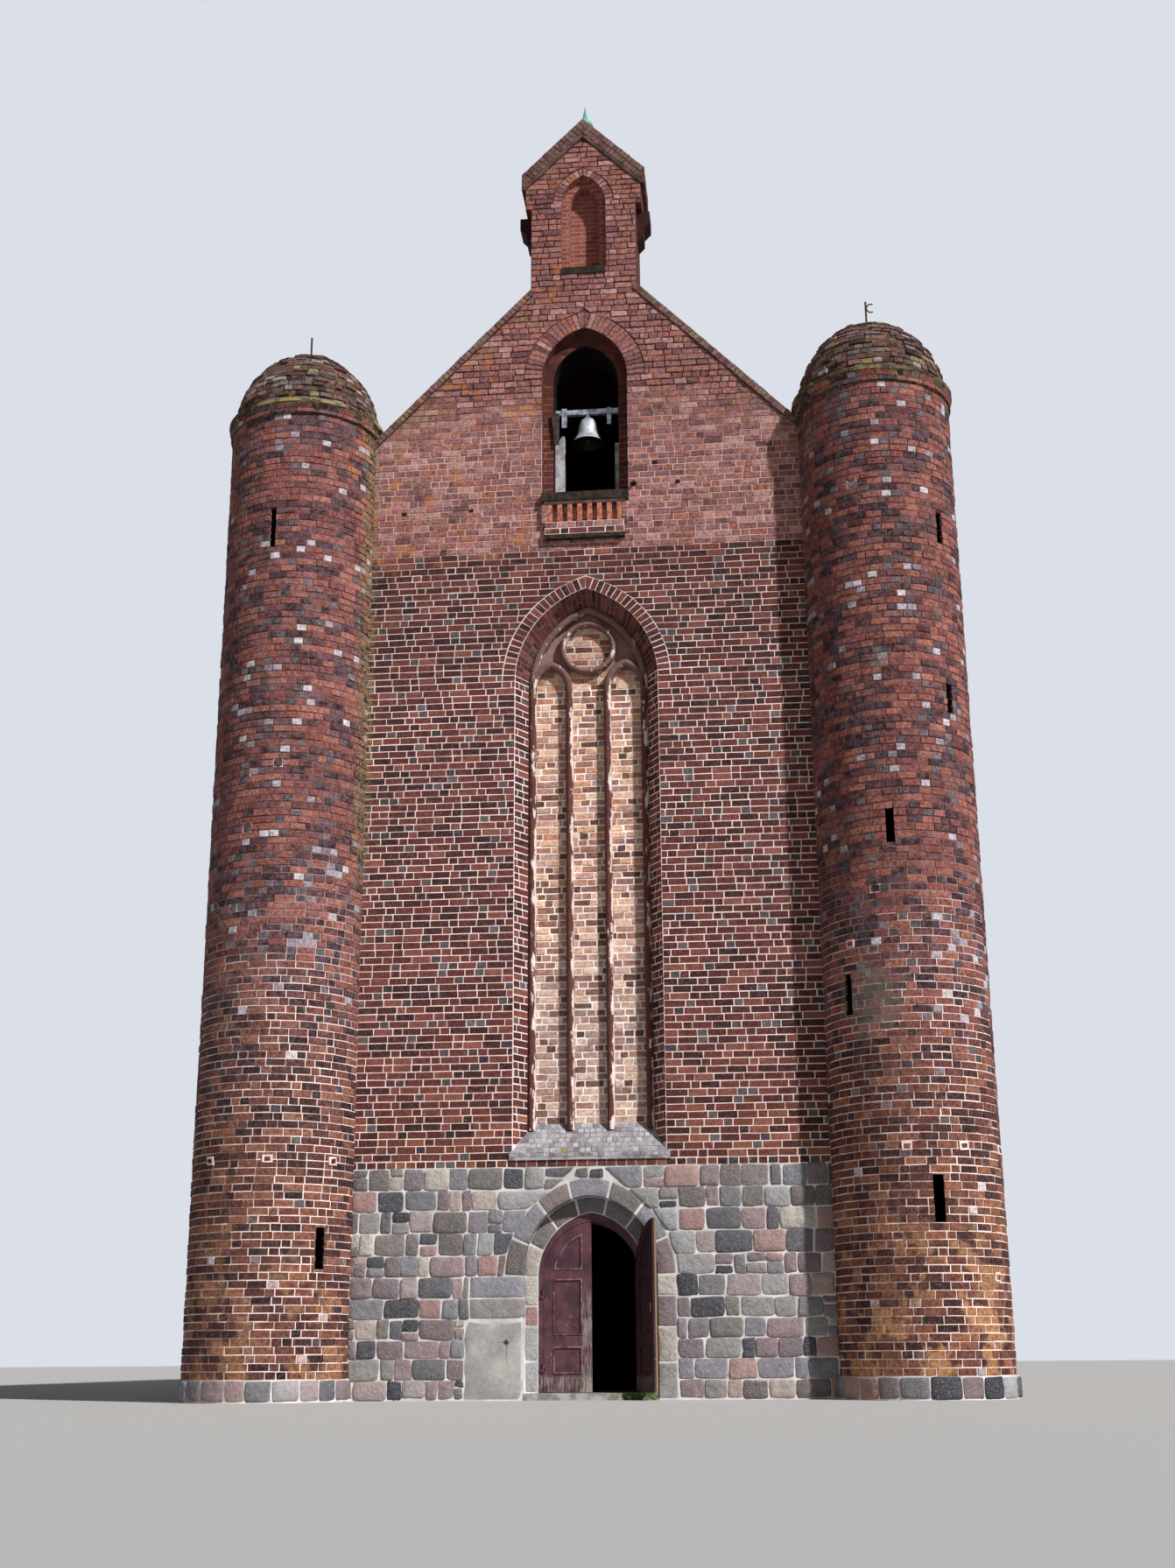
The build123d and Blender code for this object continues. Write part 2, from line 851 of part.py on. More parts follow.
def turret_cap(side):
    """Moulded cornice with the raised brick dome that springs from it, hollow inside."""
    reach = turret_radius + cornice_reach
    base = turret_radius - dome_inset
    low = shaft_top + cornice_roll[0]
    high = shaft_top + cornice_roll[1]
    bead = (turret_radius + cornice_bead, (shaft_top + low) / 2)
    fillet = (turret_radius + cornice_fillet, low)
    edges = [
        Line((turret_inner, shaft_top), (turret_radius, shaft_top)),
        ThreePointArc((turret_radius, shaft_top), bead, (turret_radius, low)),
        Polyline((turret_radius, low), fillet, (reach, high), (reach, dome_foot), (base, dome_foot)),
        Line((0, dome_top), (0, dome_top - dome_wall)),
        Polyline((base - dome_wall, dome_foot), (turret_inner, dome_foot), (turret_inner, shaft_top)),
    ]
    edges += dome_arcs(0) + dome_arcs(dome_wall)
    section = Plane.XZ * make_face(edges)
    return Pos(side * turret_x, turret_y, 0) * revolve(section, Axis.Z)


def turret_spike():
    return drum(spike_radius, dome_top, dome_top + spike_length, -turret_x, turret_y)


def turret_vane():
    """Iron rod with the bent stub of a vane at its head."""
    head = dome_top + vane_length
    rod = drum(spike_radius, dome_top, head, turret_x, turret_y)
    middle = turret_x + vane_hook_radius + vane_stub_radius
    stub = Rot(90, 0, 0) * Torus(vane_hook_radius, vane_stub_radius)
    near = turret_y - 2 * spike_radius
    far = turret_y + 2 * spike_radius
    keep = block(turret_x, turret_x + vane_hook_span, near, far, dome_top, head + spike_length)
    return rod + (Pos(middle, turret_y, head - vane_hook_drop) * stub & keep)


# Nave


def bay_middle(i):
    return corner_depth + bay * (i + 0.5)


def nave_window(grow=0):
    foot = nave_window_foot - grow
    return pointed(nave_window_half + grow, foot, nave_window_spring, nave_window_apex + grow)


def nave_wall_right():
    """Side wall from the ground to the roof, with a window in each bay and a course under the eaves."""
    reach = nave_half + eaves_course
    half_out = nave_half + eaves_course / 2
    top = under_roof(reach)
    section = outline(
        (nave_inner, 0),
        (nave_half, 0),
        (nave_half, top - eaves_band),
        (half_out, top - eaves_band),
        (half_out, top - eaves_course),
        (reach, top - eaves_course),
        (reach, top),
        (nave_inner, under_roof(nave_inner)),
    )
    wall = facing(section, corner_depth, rear_inner)
    for i in range(bays):
        wall -= Pos(0, bay_middle(i), 0) * sideways(nave_window(), nave_inner - past, nave_half + past)
    return wall


def nave_tracery_right():
    bars = []
    light_top = nave_window_spring + nave_light_rise
    ring_middle = nave_window_spring + nave_ring_rise
    sizes = (nave_roll, light_top, ring_middle, nave_ring_radius, nave_mullion_x)
    half = nave_window_half - glass_fit
    face = tracery(half, nave_window_foot, nave_window_spring, nave_window_apex - glass_fit, *sizes)
    near = nave_half - nave_tracery_in
    for i in range(bays):
        bars.append(Pos(0, bay_middle(i), 0) * sideways(face, near, near + nave_tracery_depth))
    return together(bars)


def nave_glass_right():
    """One sheet of glass behind the bars of each window."""
    sheets = []
    far = nave_half - nave_tracery_in
    for i in range(bays):
        sheets.append(Pos(0, bay_middle(i), 0) * sideways(nave_window(-glass_fit), far - glass_thick, far))
    return together(sheets)


def buttresses_right():
    profile = outline(
        (nave_half, 0),
        (nave_half + buttress_foot, 0),
        (nave_half + buttress_foot, buttress_set[0]),
        (nave_half + buttress_upper, buttress_set[1]),
        (nave_half + buttress_upper, buttress_top[0]),
        (nave_half, buttress_top[1]),
    )
    half = buttress_width / 2
    places = [corner_depth + bay * i for i in range(1, bays)] + [rear_face - half]
    return together(facing(profile, y - half, y + half) for y in places)


def rear_wall():
    """Plain rear wall and gable, with a blind window sunk into it."""
    top = coping_line(0) - coping_thick
    edge = coping_line(nave_half) - coping_thick
    face = outline((-nave_half, 0), (nave_half, 0), (nave_half, edge), (0, top), (-nave_half, edge))
    wall = facing(face, rear_inner, rear_face)
    return wall - facing(nave_window(rear_recess), rear_face - rear_recess, rear_face)


def rear_coping():
    top = coping_line(0)
    edge = coping_line(nave_half)
    upper = [(-nave_half, edge), (0, top), (nave_half, edge)]
    lower = [(x, z - coping_thick) for x, z in reversed(upper)]
    return facing(outline(*upper, *lower), rear_inner - coping_nose, rear_face)


def roof_right():
    """Roof slope from the ridge to the eaves, between the two gables."""
    far = nave_half + eaves_out
    face = outline((0, roof_line(0)), (far, roof_line(far)), (far, under_roof(far)), (0, under_roof(0)))
    slab = facing(face, front_wall, rear_inner)
    return slab - turret_drum(turret_radius + turret_fit)


def roof_ridge():
    """Ridge tiles, bedded on both slopes between the two copings."""
    top = roof_line(0)
    foot = roof_line(ridge_width)
    out, up = ridge_shoulder
    right = [(0, top), (ridge_width, foot), (out, top + up)]
    left = [(-out, top + up), (-ridge_width, foot)]
    face = outline(*right, (0, top + ridge_height), *left)
    return facing(face, front_wall + coping_nose, rear_inner - coping_nose)


def nave_floor():
    floor = block(-nave_inner, nave_inner, front_wall, rear_inner, 0, floor_top)
    round_corner = turret_drum(turret_radius + turret_fit)
    return floor - round_corner - mirrored(round_corner)


parts = {
    "front_granite_left": mirrored(granite_wall_right()),
    "front_granite_right": granite_wall_right(),
    "portal_arch": portal_arch(),
    "front_granite_over_door": granite_over_door(),
    "door_threshold": door_threshold(),
    "door_frame": door_frame(),
    "door_leaf_left": door_leaf_left(),
    "door_leaf_right": door_leaf_right(),
    "front_wall_left": mirrored(wall_beside_window()),
    "front_wall_right": wall_beside_window(),
    "front_wall_over_window": wall_over_window(),
    "blind_window_panel": blind_window_panel(),
    "blind_window_tracery": blind_window_tracery(),
    "blind_window_sill": blind_window_sill(),
    "gable_left": mirrored(gable_right()),
    "gable_right": gable_right(),
    "gable_below_bell": gable_below_bell(),
    "gable_over_bell": gable_over_bell(),
    "bell_sill": bell_sill(),
    "bell_balustrade": bell_balustrade(),
    "bell_beam": bell_beam(),
    "bell": bell(),
    "bell_clapper": bell_clapper(),
    "bell_posts": bell_posts(),
    "gable_copings": gable_copings(),
    "bellcote": bellcote(),
    "bellcote_sill": bellcote_sill(),
    "bellcote_coping": bellcote_coping(),
    "bellcote_corbels": bellcote_corbels(),
    "finial": finial(),
    "turret_left_spike": turret_spike(),
    "turret_right_vane": turret_vane(),
    "nave_wall_right": nave_wall_right(),
    "nave_wall_left": mirrored(nave_wall_right()),
    "nave_tracery_right": nave_tracery_right(),
    "nave_tracery_left": mirrored(nave_tracery_right()),
    "nave_glass_right": nave_glass_right(),
    "nave_glass_left": mirrored(nave_glass_right()),
    "buttresses_right": buttresses_right(),
    "buttresses_left": mirrored(buttresses_right()),
    "rear_wall": rear_wall(),
    "rear_coping": rear_coping(),
    "roof_right": roof_right(),
    "roof_left": mirrored(roof_right()),
    "roof_ridge": roof_ridge(),
    "nave_floor": nave_floor(),
}
for name, side in (("left", -1), ("right", 1)):
    parts["turret_" + name + "_front"] = turret_front(side)
    parts["turret_" + name + "_flank"] = turret_flank(side)
    parts["turret_" + name + "_corner"] = turret_corner(side)
    parts["turret_" + name + "_plinth"] = turret_plinth(side)
    parts["turret_" + name + "_cap"] = turret_cap(side)

os.makedirs("parts", exist_ok=True)
for name, shape in parts.items():
    export_step(Pos(0, -middle_y, 0) * shape, "parts/" + name + ".step")
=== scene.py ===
import math
from functools import partial

import bpy
import numpy as np
from mathutils import Matrix, Vector


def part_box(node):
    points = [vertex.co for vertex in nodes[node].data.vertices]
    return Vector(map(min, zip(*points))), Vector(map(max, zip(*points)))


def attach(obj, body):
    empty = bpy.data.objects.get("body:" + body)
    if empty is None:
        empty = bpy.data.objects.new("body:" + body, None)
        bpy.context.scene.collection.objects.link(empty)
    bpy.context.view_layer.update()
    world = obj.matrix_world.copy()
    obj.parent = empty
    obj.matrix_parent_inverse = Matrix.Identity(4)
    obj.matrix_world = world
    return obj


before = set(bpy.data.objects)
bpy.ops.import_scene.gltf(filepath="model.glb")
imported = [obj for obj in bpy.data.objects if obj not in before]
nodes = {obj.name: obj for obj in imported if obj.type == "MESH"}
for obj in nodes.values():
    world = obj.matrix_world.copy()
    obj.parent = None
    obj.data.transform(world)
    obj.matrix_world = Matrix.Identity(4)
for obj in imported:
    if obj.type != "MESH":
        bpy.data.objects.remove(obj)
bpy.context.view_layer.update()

# Camera: it stands low in front of the chapel, a little to the right of the door, and looks up.
# Its place and turn were solved from the arrises of the front; the frame is 1342 wide and 1791 high.
EYE = (2.669, -36.938, 0.539)
YAW, PITCH, ROLL = math.radians(5.632), math.radians(17.283), math.radians(-0.371)
FOCAL_PIXELS, PICTURE_HEIGHT, FILM, FARTHEST = 2113.8, 1791, 36.0, 500
ahead = np.array((-math.sin(YAW) * math.cos(PITCH), math.cos(YAW) * math.cos(PITCH), math.sin(PITCH)))
level = np.array((math.cos(YAW), math.sin(YAW), 0.0))
above = np.cross(level, ahead)
sideways = math.cos(ROLL) * level + math.sin(ROLL) * above
above = math.cos(ROLL) * above - math.sin(ROLL) * level
camera = bpy.data.objects.new("camera", bpy.data.cameras.new("camera"))
camera.data.sensor_fit = "VERTICAL"
camera.data.sensor_height = FILM
camera.data.lens = FOCAL_PIXELS / PICTURE_HEIGHT * FILM
camera.data.clip_end = FARTHEST
turn = Matrix([list(row) for row in np.stack([sideways, above, -ahead], 1)]).to_4x4()
camera.matrix_world = Matrix.Translation(EYE) @ turn
bpy.context.scene.collection.objects.link(camera)
bpy.context.scene.camera = camera

# Floor and light: plain pale floor and background, an even pale sky and one soft sun from the
# upper right, where the turret's shadow in the photo puts it. None of it belongs to the chapel.
FLOOR_REACH, SKY_LIGHT, SKY_SEEN = 250, 0.12, 0.80
SUN_FROM_RIGHT, SUN_HEIGHT, SUN_STRENGTH, SUN_SPREAD = math.radians(48), math.radians(38), 4.25, 0.03


class Wire:
    """A socket of a finish, on which sums and further nodes are written as plain Python."""

    def __init__(self, socket):
        self.socket = socket
        self.tree = socket.id_data

    def node(self, kind, settings=None, values=None, out=0):
        made = self.tree.nodes.new("ShaderNode" + kind)
        for key, value in (settings or {}).items():
            if key != "stops":
                setattr(made, key, value)
                continue
            stops = made.color_ramp.elements
            for i, (place, colour) in enumerate(value):
                stop = stops[i] if i < 2 else stops.new(place)
                stop.position, stop.color = place, colour
        feed(made, values or {})
        return Wire(made.outputs[out])

    def sum(self, operation, first, second=0.0):
        return self.node("Math", {"operation": operation}, {0: first, 1: second})

    def __add__(self, other):
        return self.sum("ADD", self, other)

    def __sub__(self, other):
        return self.sum("SUBTRACT", self, other)

    def __rsub__(self, other):
        return self.sum("SUBTRACT", other, self)

    def __mul__(self, other):
        return self.sum("MULTIPLY", self, other)

    def __lt__(self, other):
        return self.sum("LESS_THAN", self, other)

    def __gt__(self, other):
        return self.sum("GREATER_THAN", self, other)

    def __abs__(self):
        return self.sum("ABSOLUTE", self)

    __radd__ = __add__
    __rmul__ = __mul__


def feed(node, values):
    """Link or write what each socket of a node gets."""
    for key, value in values.items():
        if isinstance(value, Wire):
            node.id_data.links.new(value.socket, node.inputs[key])
        else:
            node.inputs[key].default_value = value


def rgb(red, green, blue):
    """A colour as a painter reads it, 0 to 255, turned into Blender's linear light."""
    shares = [v / 255 for v in (red, green, blue)]
    return tuple(v / 12.92 if v < 0.0404 else ((v + 0.055) / 1.055) ** 2.4 for v in shares) + (1.0,)


def new_finish(name):
    """An empty finish: the material, its shader, and the place on the chapel in metres."""
    made = bpy.data.materials.new(name)
    made.use_nodes = True
    shader = made.node_tree.nodes["Principled BSDF"]
    shader.inputs["Specular IOR Level"].default_value = 0.2
    place = Wire(made.node_tree.nodes.new("ShaderNodeTexCoord").outputs["Object"])
    return made, shader, place


mesh = bpy.data.meshes.new("floor")
floor_corners = [(x * FLOOR_REACH, y * FLOOR_REACH, 0) for x, y in ((-1, -1), (1, -1), (1, 1), (-1, 1))]
mesh.from_pydata(floor_corners, [], [(0, 1, 2, 3)])
floor = bpy.data.objects.new("floor", mesh)
bpy.context.scene.collection.objects.link(floor)
pale, shader = new_finish("pale_floor")[:2]
feed(shader, {"Base Color": rgb(188, 186, 183), "Roughness": 0.9})
mesh.materials.append(pale)
world = bpy.data.worlds.new("sky")
world.use_nodes = True
bpy.context.scene.world = world
path = world.node_tree.nodes.new("ShaderNodeLightPath")
seen = sum(Wire(path.outputs[f"Is {ray} Ray"]) for ray in ("Camera", "Glossy", "Transmission")) > 0.5
strength = SKY_LIGHT + seen * (SKY_SEEN - SKY_LIGHT)
feed(world.node_tree.nodes["Background"], {"Strength": strength, "Color": rgb(242, 246, 255)})
sun = bpy.data.objects.new("sun", bpy.data.lights.new("sun", "SUN"))
sun.data.energy = SUN_STRENGTH
sun.data.angle = SUN_SPREAD
shining = Vector((
    -math.sin(SUN_FROM_RIGHT) * math.cos(SUN_HEIGHT),
    math.cos(SUN_FROM_RIGHT) * math.cos(SUN_HEIGHT),
    -math.sin(SUN_HEIGHT),
))
sun.rotation_euler = shining.to_track_quat("-Z", "Y").to_euler()
bpy.context.scene.collection.objects.link(sun)
bpy.context.scene.view_settings.view_transform = "Standard"

# Granite foot of the front: squared fieldstones in grey, lilac, pink and near black, split and
# roughly dressed, laid in uneven courses with pale lime joints. The wall node behind them is the
# lime, and each stone bulges out of it.
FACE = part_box("front_wall_left")[0].y
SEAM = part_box("front_wall_right")[1].x
GRANITE_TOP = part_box("front_granite_left")[1].z
CEMENT_EDGE, CEMENT_TOP, CEMENT_HALF = 1.79, 1.06, 0.27
CUT_STONES_EDGE, CUT_STONES_TOP = 1.73, 1.68
OUTER_ARCH, INNER_ARCH, RING_ARCH = (0.96, 1.78, 2.80), (0.765, 1.68, 2.57), (1.226, 1.68, 3.066)
DOOR_HALF, RING_HALF, RING_SPRING = OUTER_ARCH[0], RING_ARCH[0], RING_ARCH[1]
RING_CROWN, REVEAL = 3.04, 0.25
STONE_BEDS = [0.02, 0.27, 0.56, 0.82, 1.10, 1.38, 1.68, 1.97, 2.29, 2.60, 2.89, GRANITE_TOP]
PINNINGS = ((-0.21, -0.02), (0.0, 0.21))
HALF_JOINT, SHORTEST, HAIR, ARRIS_SOFTNESS = 0.006, 0.055, 1e-4, 0.35
dice = np.random.default_rng(11)


def mottle(place, size, detail=3.0, rough=0.55):
    """Cloudy variation from 0 to 1 whose patches are about size metres across."""
    values = {"Vector": place, "Scale": 1 / size, "Detail": detail, "Roughness": rough}
    return place.node("TexNoise", {}, values)


def rising(value, low, high):
    """0 below low, 1 above high and a soft step between."""
    values = {"Value": value, "From Min": low, "From Max": high}
    return value.node("MapRange", {"interpolation_type": "SMOOTHSTEP"}, values)


def mixed(share, first, second):
    """The first colour turning into the second one as share goes from 0 to 1."""
    return share.node("Mix", {"data_type": "RGBA"}, {0: share, 6: first, 7: second}, out=2)


def shaded(colour, share):
    """A colour made darker or lighter by a number that varies."""
    grey = share.node("CombineColor", {}, {0: share, 1: share, 2: share})
    settings = {"data_type": "RGBA", "blend_type": "MULTIPLY"}
    return colour.node("Mix", settings, {0: 1.0, 6: colour, 7: grey}, out=2)


def clouded(place, colour, size, low, high, detail=3.0, rough=0.55):
    """A colour in cloudy shades, from low to high times as light."""
    return shaded(colour, low + mottle(place, size, detail, rough) * (high - low))


def blotched(place, size, first, second, low=0.4, high=0.6):
    """One colour in blotches on another."""
    return mixed(rising(mottle(place, size), low, high), rgb(*first), rgb(*second))


def axes_of(place):
    return [place.node("SeparateXYZ", {}, {0: place}, out=i) for i in range(3)]


def cover(shader, colour, roughness, height, depth, metallic=0.0):
    """Give a finish its colour and its roughness, and a relief that is depth metres high."""
    bumps = height.node("Bump", {}, {"Strength": 1.0, "Distance": depth, "Height": height})
    feed(shader, {"Base Color": colour, "Roughness": roughness, "Metallic": metallic, "Normal": bumps})


def grain_of(shader):
    """What each brick or stone got when it was laid: its tone, its kind and a second tone."""
    made = shader.id_data.nodes.new("ShaderNodeAttribute")
    made.attribute_name = "laid"
    return axes_of(Wire(made.outputs["Vector"]))


def ramp(value, *colours):
    """Colours spread evenly from 0 to 1."""
    stops = [(i / (len(colours) - 1), rgb(*colour)) for i, colour in enumerate(colours)]
    return value.node("ValToRGB", {"stops": stops}, {0: value})


def patchy(name, first, second, size, roughness=0.9, depth=0.004, metallic=0.0):
    """A plain finish of two colours in patches, with finer shading and a rough surface."""
    finish, shader, place = new_finish(name)
    colour = clouded(place, blotched(place, size, first, second), size / 6, 0.75, 1.25, 4.0)
    cover(shader, colour, roughness, mottle(place, size / 8, 4.0), depth, metallic)
    return finish


def dress(finish, *starts, but=()):
    """Give a finish to the CAD nodes whose names begin so."""
    for name, node in nodes.items():
        if name.startswith(starts) and not name.endswith(tuple(but)):
            node.data.materials.clear()
            node.data.materials.append(finish)


def add_piece(name, points, quads, finish, body="chapel", flat=None, laid=None, smooth=False,
              turned_over=False):
    """A mesh of quads that rides on a body. flat is its map, and laid what each point was given."""
    mesh = bpy.data.meshes.new(name)
    points = np.asarray(points, np.float32).reshape(-1, 3)
    quads = np.asarray(quads, np.int32).reshape(-1, 4)
    mesh.vertices.add(len(points))
    mesh.vertices.foreach_set("co", points.ravel())
    mesh.loops.add(quads.size)
    mesh.loops.foreach_set("vertex_index", quads.ravel())
    mesh.polygons.add(len(quads))
    mesh.polygons.foreach_set("loop_start", np.arange(0, quads.size, 4, dtype=np.int32))
    mesh.update(calc_edges=True)
    mesh.polygons.foreach_set("use_smooth", np.full(len(quads), smooth))
    if flat is not None:
        flat = flat.reshape(-1, 2)
        place = (flat - flat.min(0)) / np.ptp(flat, axis=0)
        layer = mesh.uv_layers.new(name="OFBake")
        layer.uv.foreach_set("vector", place[quads.ravel()].astype(np.float32).ravel())
    if laid is not None:
        mesh.attributes.new("laid", "FLOAT_VECTOR", "POINT")
        mesh.attributes["laid"].data.foreach_set("vector", np.asarray(laid, np.float32).ravel())
    if turned_over:
        mesh.flip_normals()
    mesh.materials.append(finish)
    made = bpy.data.objects.new(name, mesh)
    bpy.context.scene.collection.objects.link(made)
    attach(made, body)


def across(corners, s, t):
    """Points of four-cornered patches: s and t run from 0 to 1 from the first corner."""
    a, b, c, d = (corners[:, None, None, i] for i in range(4))
    s, t = s[..., None], t[..., None]
    return (1 - s) * (1 - t) * a + s * (1 - t) * b + s * t * c + (1 - s) * t * d


def grid_quads(count, high, wide):
    index = np.arange(count * high * wide).reshape(count, high, wide)
    return np.stack([index[:, :-1, :-1], index[:, :-1, 1:], index[:, 1:, 1:], index[:, 1:, :-1]], -1)


def flat_face(origin, along, up, outward):
    """A plane face of the chapel: a place on it from u along, v up and out in front of it."""
    origin, along, up, outward = (np.asarray(v, float) for v in (origin, along, up, outward))

    def at(u, v, out):
        u, v, out = (np.asarray(x)[..., None] for x in (u, v, out))
        return origin + u * along + v * up + out * outward

    return at


def facing_front(depth=0.0):
    """A face turned to the viewer, a given depth behind the front."""
    return flat_face((0, FACE + depth, 0), (1, 0, 0), (0, 0, 1), (0, -1, 0))


def lines(*places):
    """Upright edges at fixed places, from left to right."""
    return [lambda z, place=place: place for place in sorted(places)]


def mirrored(edge):
    """An edge on the right and the same on the left."""
    return [lambda z: -edge(z), edge]


def cut(left, right, low, high):
    """The corners of one squared piece."""
    return [(left, low), (right, low), (right, high), (left, high)]


def stacked(left, right, rows, gap):
    """The corners of pieces that lie one on another."""
    return np.array([cut(left, right, low + gap, high - gap) for low, high in zip(rows, rows[1:])])


def lay_courses(beds, edges, lengths, joint, holes=()):
    """Cut bricks or stones for each course between two edges and round holes.
    Returns their corners along and up the wall, and their kinds."""
    left, right = edges
    corners, kinds = [], []
    for row in range(len(beds) - 1):
        low = beds[row] + joint / 2
        high = beds[row + 1] - joint / 2
        run, sorts = lengths(row)
        marks = np.cumsum(run) - 40
        start = (left(low), left(high))
        spans = []
        for middle, shape in holes:
            gap = shape(low, high)
            if max(gap) > 0:
                spans.append((start, (middle - gap[0], middle - gap[1])))
                start = (middle + gap[0], middle + gap[1])
        spans.append((start, (right(low), right(high))))
        for near, far in spans:
            if min(far[0] - near[0], far[1] - near[1]) < 0.04:
                continue
            cuts = marks[(marks > max(near) + SHORTEST) & (marks < min(far) - SHORTEST)]
            first = np.searchsorted(marks, max(near) + SHORTEST)
            quad = np.empty((len(cuts) + 1, 4, 2))
            quad[1:, (0, 3), 0] = quad[:-1, (1, 2), 0] = cuts[:, None]
            quad[0, (0, 3), 0], quad[-1, (1, 2), 0] = near, far
            quad[:, (0, 3), 0] += joint / 2
            quad[:, (1, 2), 0] -= joint / 2
            quad[:, :2, 1], quad[:, 2:, 1] = low, high
            corners.append(quad)
            kinds.append(sorts[np.clip(np.arange(first, first + len(quad)), 0, len(sorts) - 1)])
    return np.concatenate(corners), np.concatenate(kinds)


def set_stones(name, corners, surface, proud=0.022, fold=None, tone=None, wild=1.0, turned_over=False):
    """Bulging stones with rounded, uneven outlines. fold gives, for each, where it bends round an arris."""
    n = len(corners)
    steps = np.array([-1, -0.96, -0.84, -0.4, 0, 0.4, 0.84, 0.96, 1.0])
    along = np.tile(steps, (n, 1))
    if fold is not None:
        along = np.sort(np.concatenate([along, (2 * fold - 1)[:, None]], 1), 1)
    s, t = along[:, None, :] + 0 * steps[:, None], steps[:, None] + 0 * along[:, None, :]
    wave = dice.uniform(-0.05, 0.05, (4, n, 1, 1)) * wild
    if fold is None:
        pulled = s * (1 - 0.07 * wild * t**8) + wave[0] * t * (1 - s**2) * 2 + wave[1] * s**2 * (1 - t**2)
        lifted = t * (1 - 0.05 * wild * s**8) + wave[2] * s * (1 - t**2) * 2 + wave[3] * t**2 * (1 - s**2)
    else:
        pulled, lifted = s, t
    shaken = corners + dice.uniform(-0.011, 0.011, corners.shape) * wild
    flat = across(shaken, (pulled + 1) / 2, (lifted + 1) / 2)
    dome = np.sqrt(np.clip((1 - s**12) * (1 - t**12), 0, 1))
    out = dome * (proud * dice.uniform(0.3, 1.2, (n, 1, 1)) + 0.006) - 0.006
    out = out + dome * dice.uniform(-0.007, 0.007, s.shape) * wild
    out = np.where(dome > 0.5, np.maximum(out, 0.003), out)
    tones = dice.uniform(0, 1, (n, 3))
    if tone is not None:
        tones[:, 0] = tone
    laid = tones[:, None, None] * np.ones(s.shape + (1,))
    points = surface(flat[..., 0], flat[..., 1], out)
    add_piece(name, points, grid_quads(*s.shape), granite, flat=flat, laid=laid, smooth=True,
              turned_over=turned_over)


def arc_of(half, spring, apex):
    """Radius and centre of the right-hand arc of a pointed arch."""
    rise = apex - spring
    radius = (half**2 + rise**2) / (2 * half)
    return radius, half - radius


def grown(arch, by):
    """The arch about the same centres, a given width further out."""
    half, spring = arch[:2]
    radius, centre = arc_of(*arch)
    return half + by, spring, spring + math.sqrt((radius + by) ** 2 - centre**2)


def half_width(arch, z):
    """Half the width of a pointed arch at a height."""
    radius, centre = arc_of(*arch)
    return centre + math.sqrt(radius**2 - max(z - arch[1], 0) ** 2) if z < arch[2] else 0.0


def arch_hole(arch, ring, foot=-1.0):
    """Half-width, at the foot and the head of a course, of a pointed opening with a ring round its arch."""
    outer = grown(arch, ring)

    def gap(low, high):
        middle = (low + high) / 2
        if middle < foot:
            return 0.0, 0.0
        if middle < arch[1]:
            return arch[0], arch[0]
        return half_width(outer, max(low, foot)), half_width(outer, high)

    return gap


def band_hole(half, low_end, high_end):
    """A hole that is half wide to both sides between two heights."""
    return lambda low, high: (half, half) if low_end < (low + high) / 2 < high_end else (0, 0)


def crown_hole(low, high):
    """The hole for the ring of the doorway, whose crown is cut level."""
    gap = arch_hole(RING_ARCH, 0.004)(low, high)
    return (gap[0], 0.2) if high > RING_CROWN else gap


def stone_lengths(row):
    return dice.choice([0.18, 0.26, 0.32, 0.38, 0.5], 300) + dice.uniform(-0.03, 0.03, 300), np.zeros(300)


stone_lime = patchy("lime_between_stones", (228, 222, 218), (200, 194, 190), 0.5, 0.95)
dress(stone_lime, "front_granite", "portal_arch", "turret_left_plinth", "turret_right_plinth")
granite, shader, place = new_finish("granite")
stone = ramp(
    grain_of(shader)[0], (44, 47, 56), (82, 82, 90), (118, 115, 119), (144, 142, 150), (122, 105, 109),
    (156, 133, 135), (108, 101, 99), (140, 133, 128), (170, 170, 172), (164, 123, 117), (192, 186, 176),
)
stone = shaded(stone, 0.12 + mottle(place, 0.15, 5.0, 0.7) + mottle(place, 0.03, 4.0, 0.7) * 0.75)
pale_flecks = rising(mottle(place, 0.012, 2.0, 0.8), 0.52, 0.64)
dark_flecks = rising(mottle(place, 0.02, 2.0, 0.8), 0.56, 0.68)
stone = mixed(pale_flecks * 0.4, stone, rgb(208, 203, 200))
stone = mixed(dark_flecks * 0.5, stone, rgb(56, 53, 57))
cover(shader, stone, 0.82, mottle(place, 0.08, 5.0, 0.65) + mottle(place, 0.012) * 0.25, 0.03)

front = facing_front()
cut_stones = (CUT_STONES_EDGE - RING_HALF) / 2
holes = [
    (CEMENT_HALF - CEMENT_EDGE, band_hole(CEMENT_HALF, -1, CEMENT_TOP)),
    (-RING_HALF - cut_stones, band_hole(cut_stones, CEMENT_TOP, CUT_STONES_TOP)),
    (0, crown_hole),
]
corners = lay_courses(STONE_BEDS, lines(-SEAM, SEAM), stone_lengths, 0.008, holes)[0]
narrow = (corners[:, 1, 0] - corners[:, 0, 0] < 0.3) & (dice.uniform(0, 1, len(corners)) < 0.3)
lower, upper = corners[narrow].copy(), corners[narrow].copy()
share = dice.uniform(0.35, 0.65, (len(lower), 1))
for low, high in ((0, 3), (1, 2)):
    split = lower[:, low] + (lower[:, high] - lower[:, low]) * share
    lower[:, high], upper[:, low] = split - (0, 0.004), split + (0, 0.004)
pinnings = [[(a, 3.05), (b, 3.05), (b - 0.01, 3.18), (a + 0.01, 3.17)] for a, b in PINNINGS]
set_stones("granite_stones", np.concatenate([corners[~narrow], lower, upper, pinnings]), front, wild=1.4)


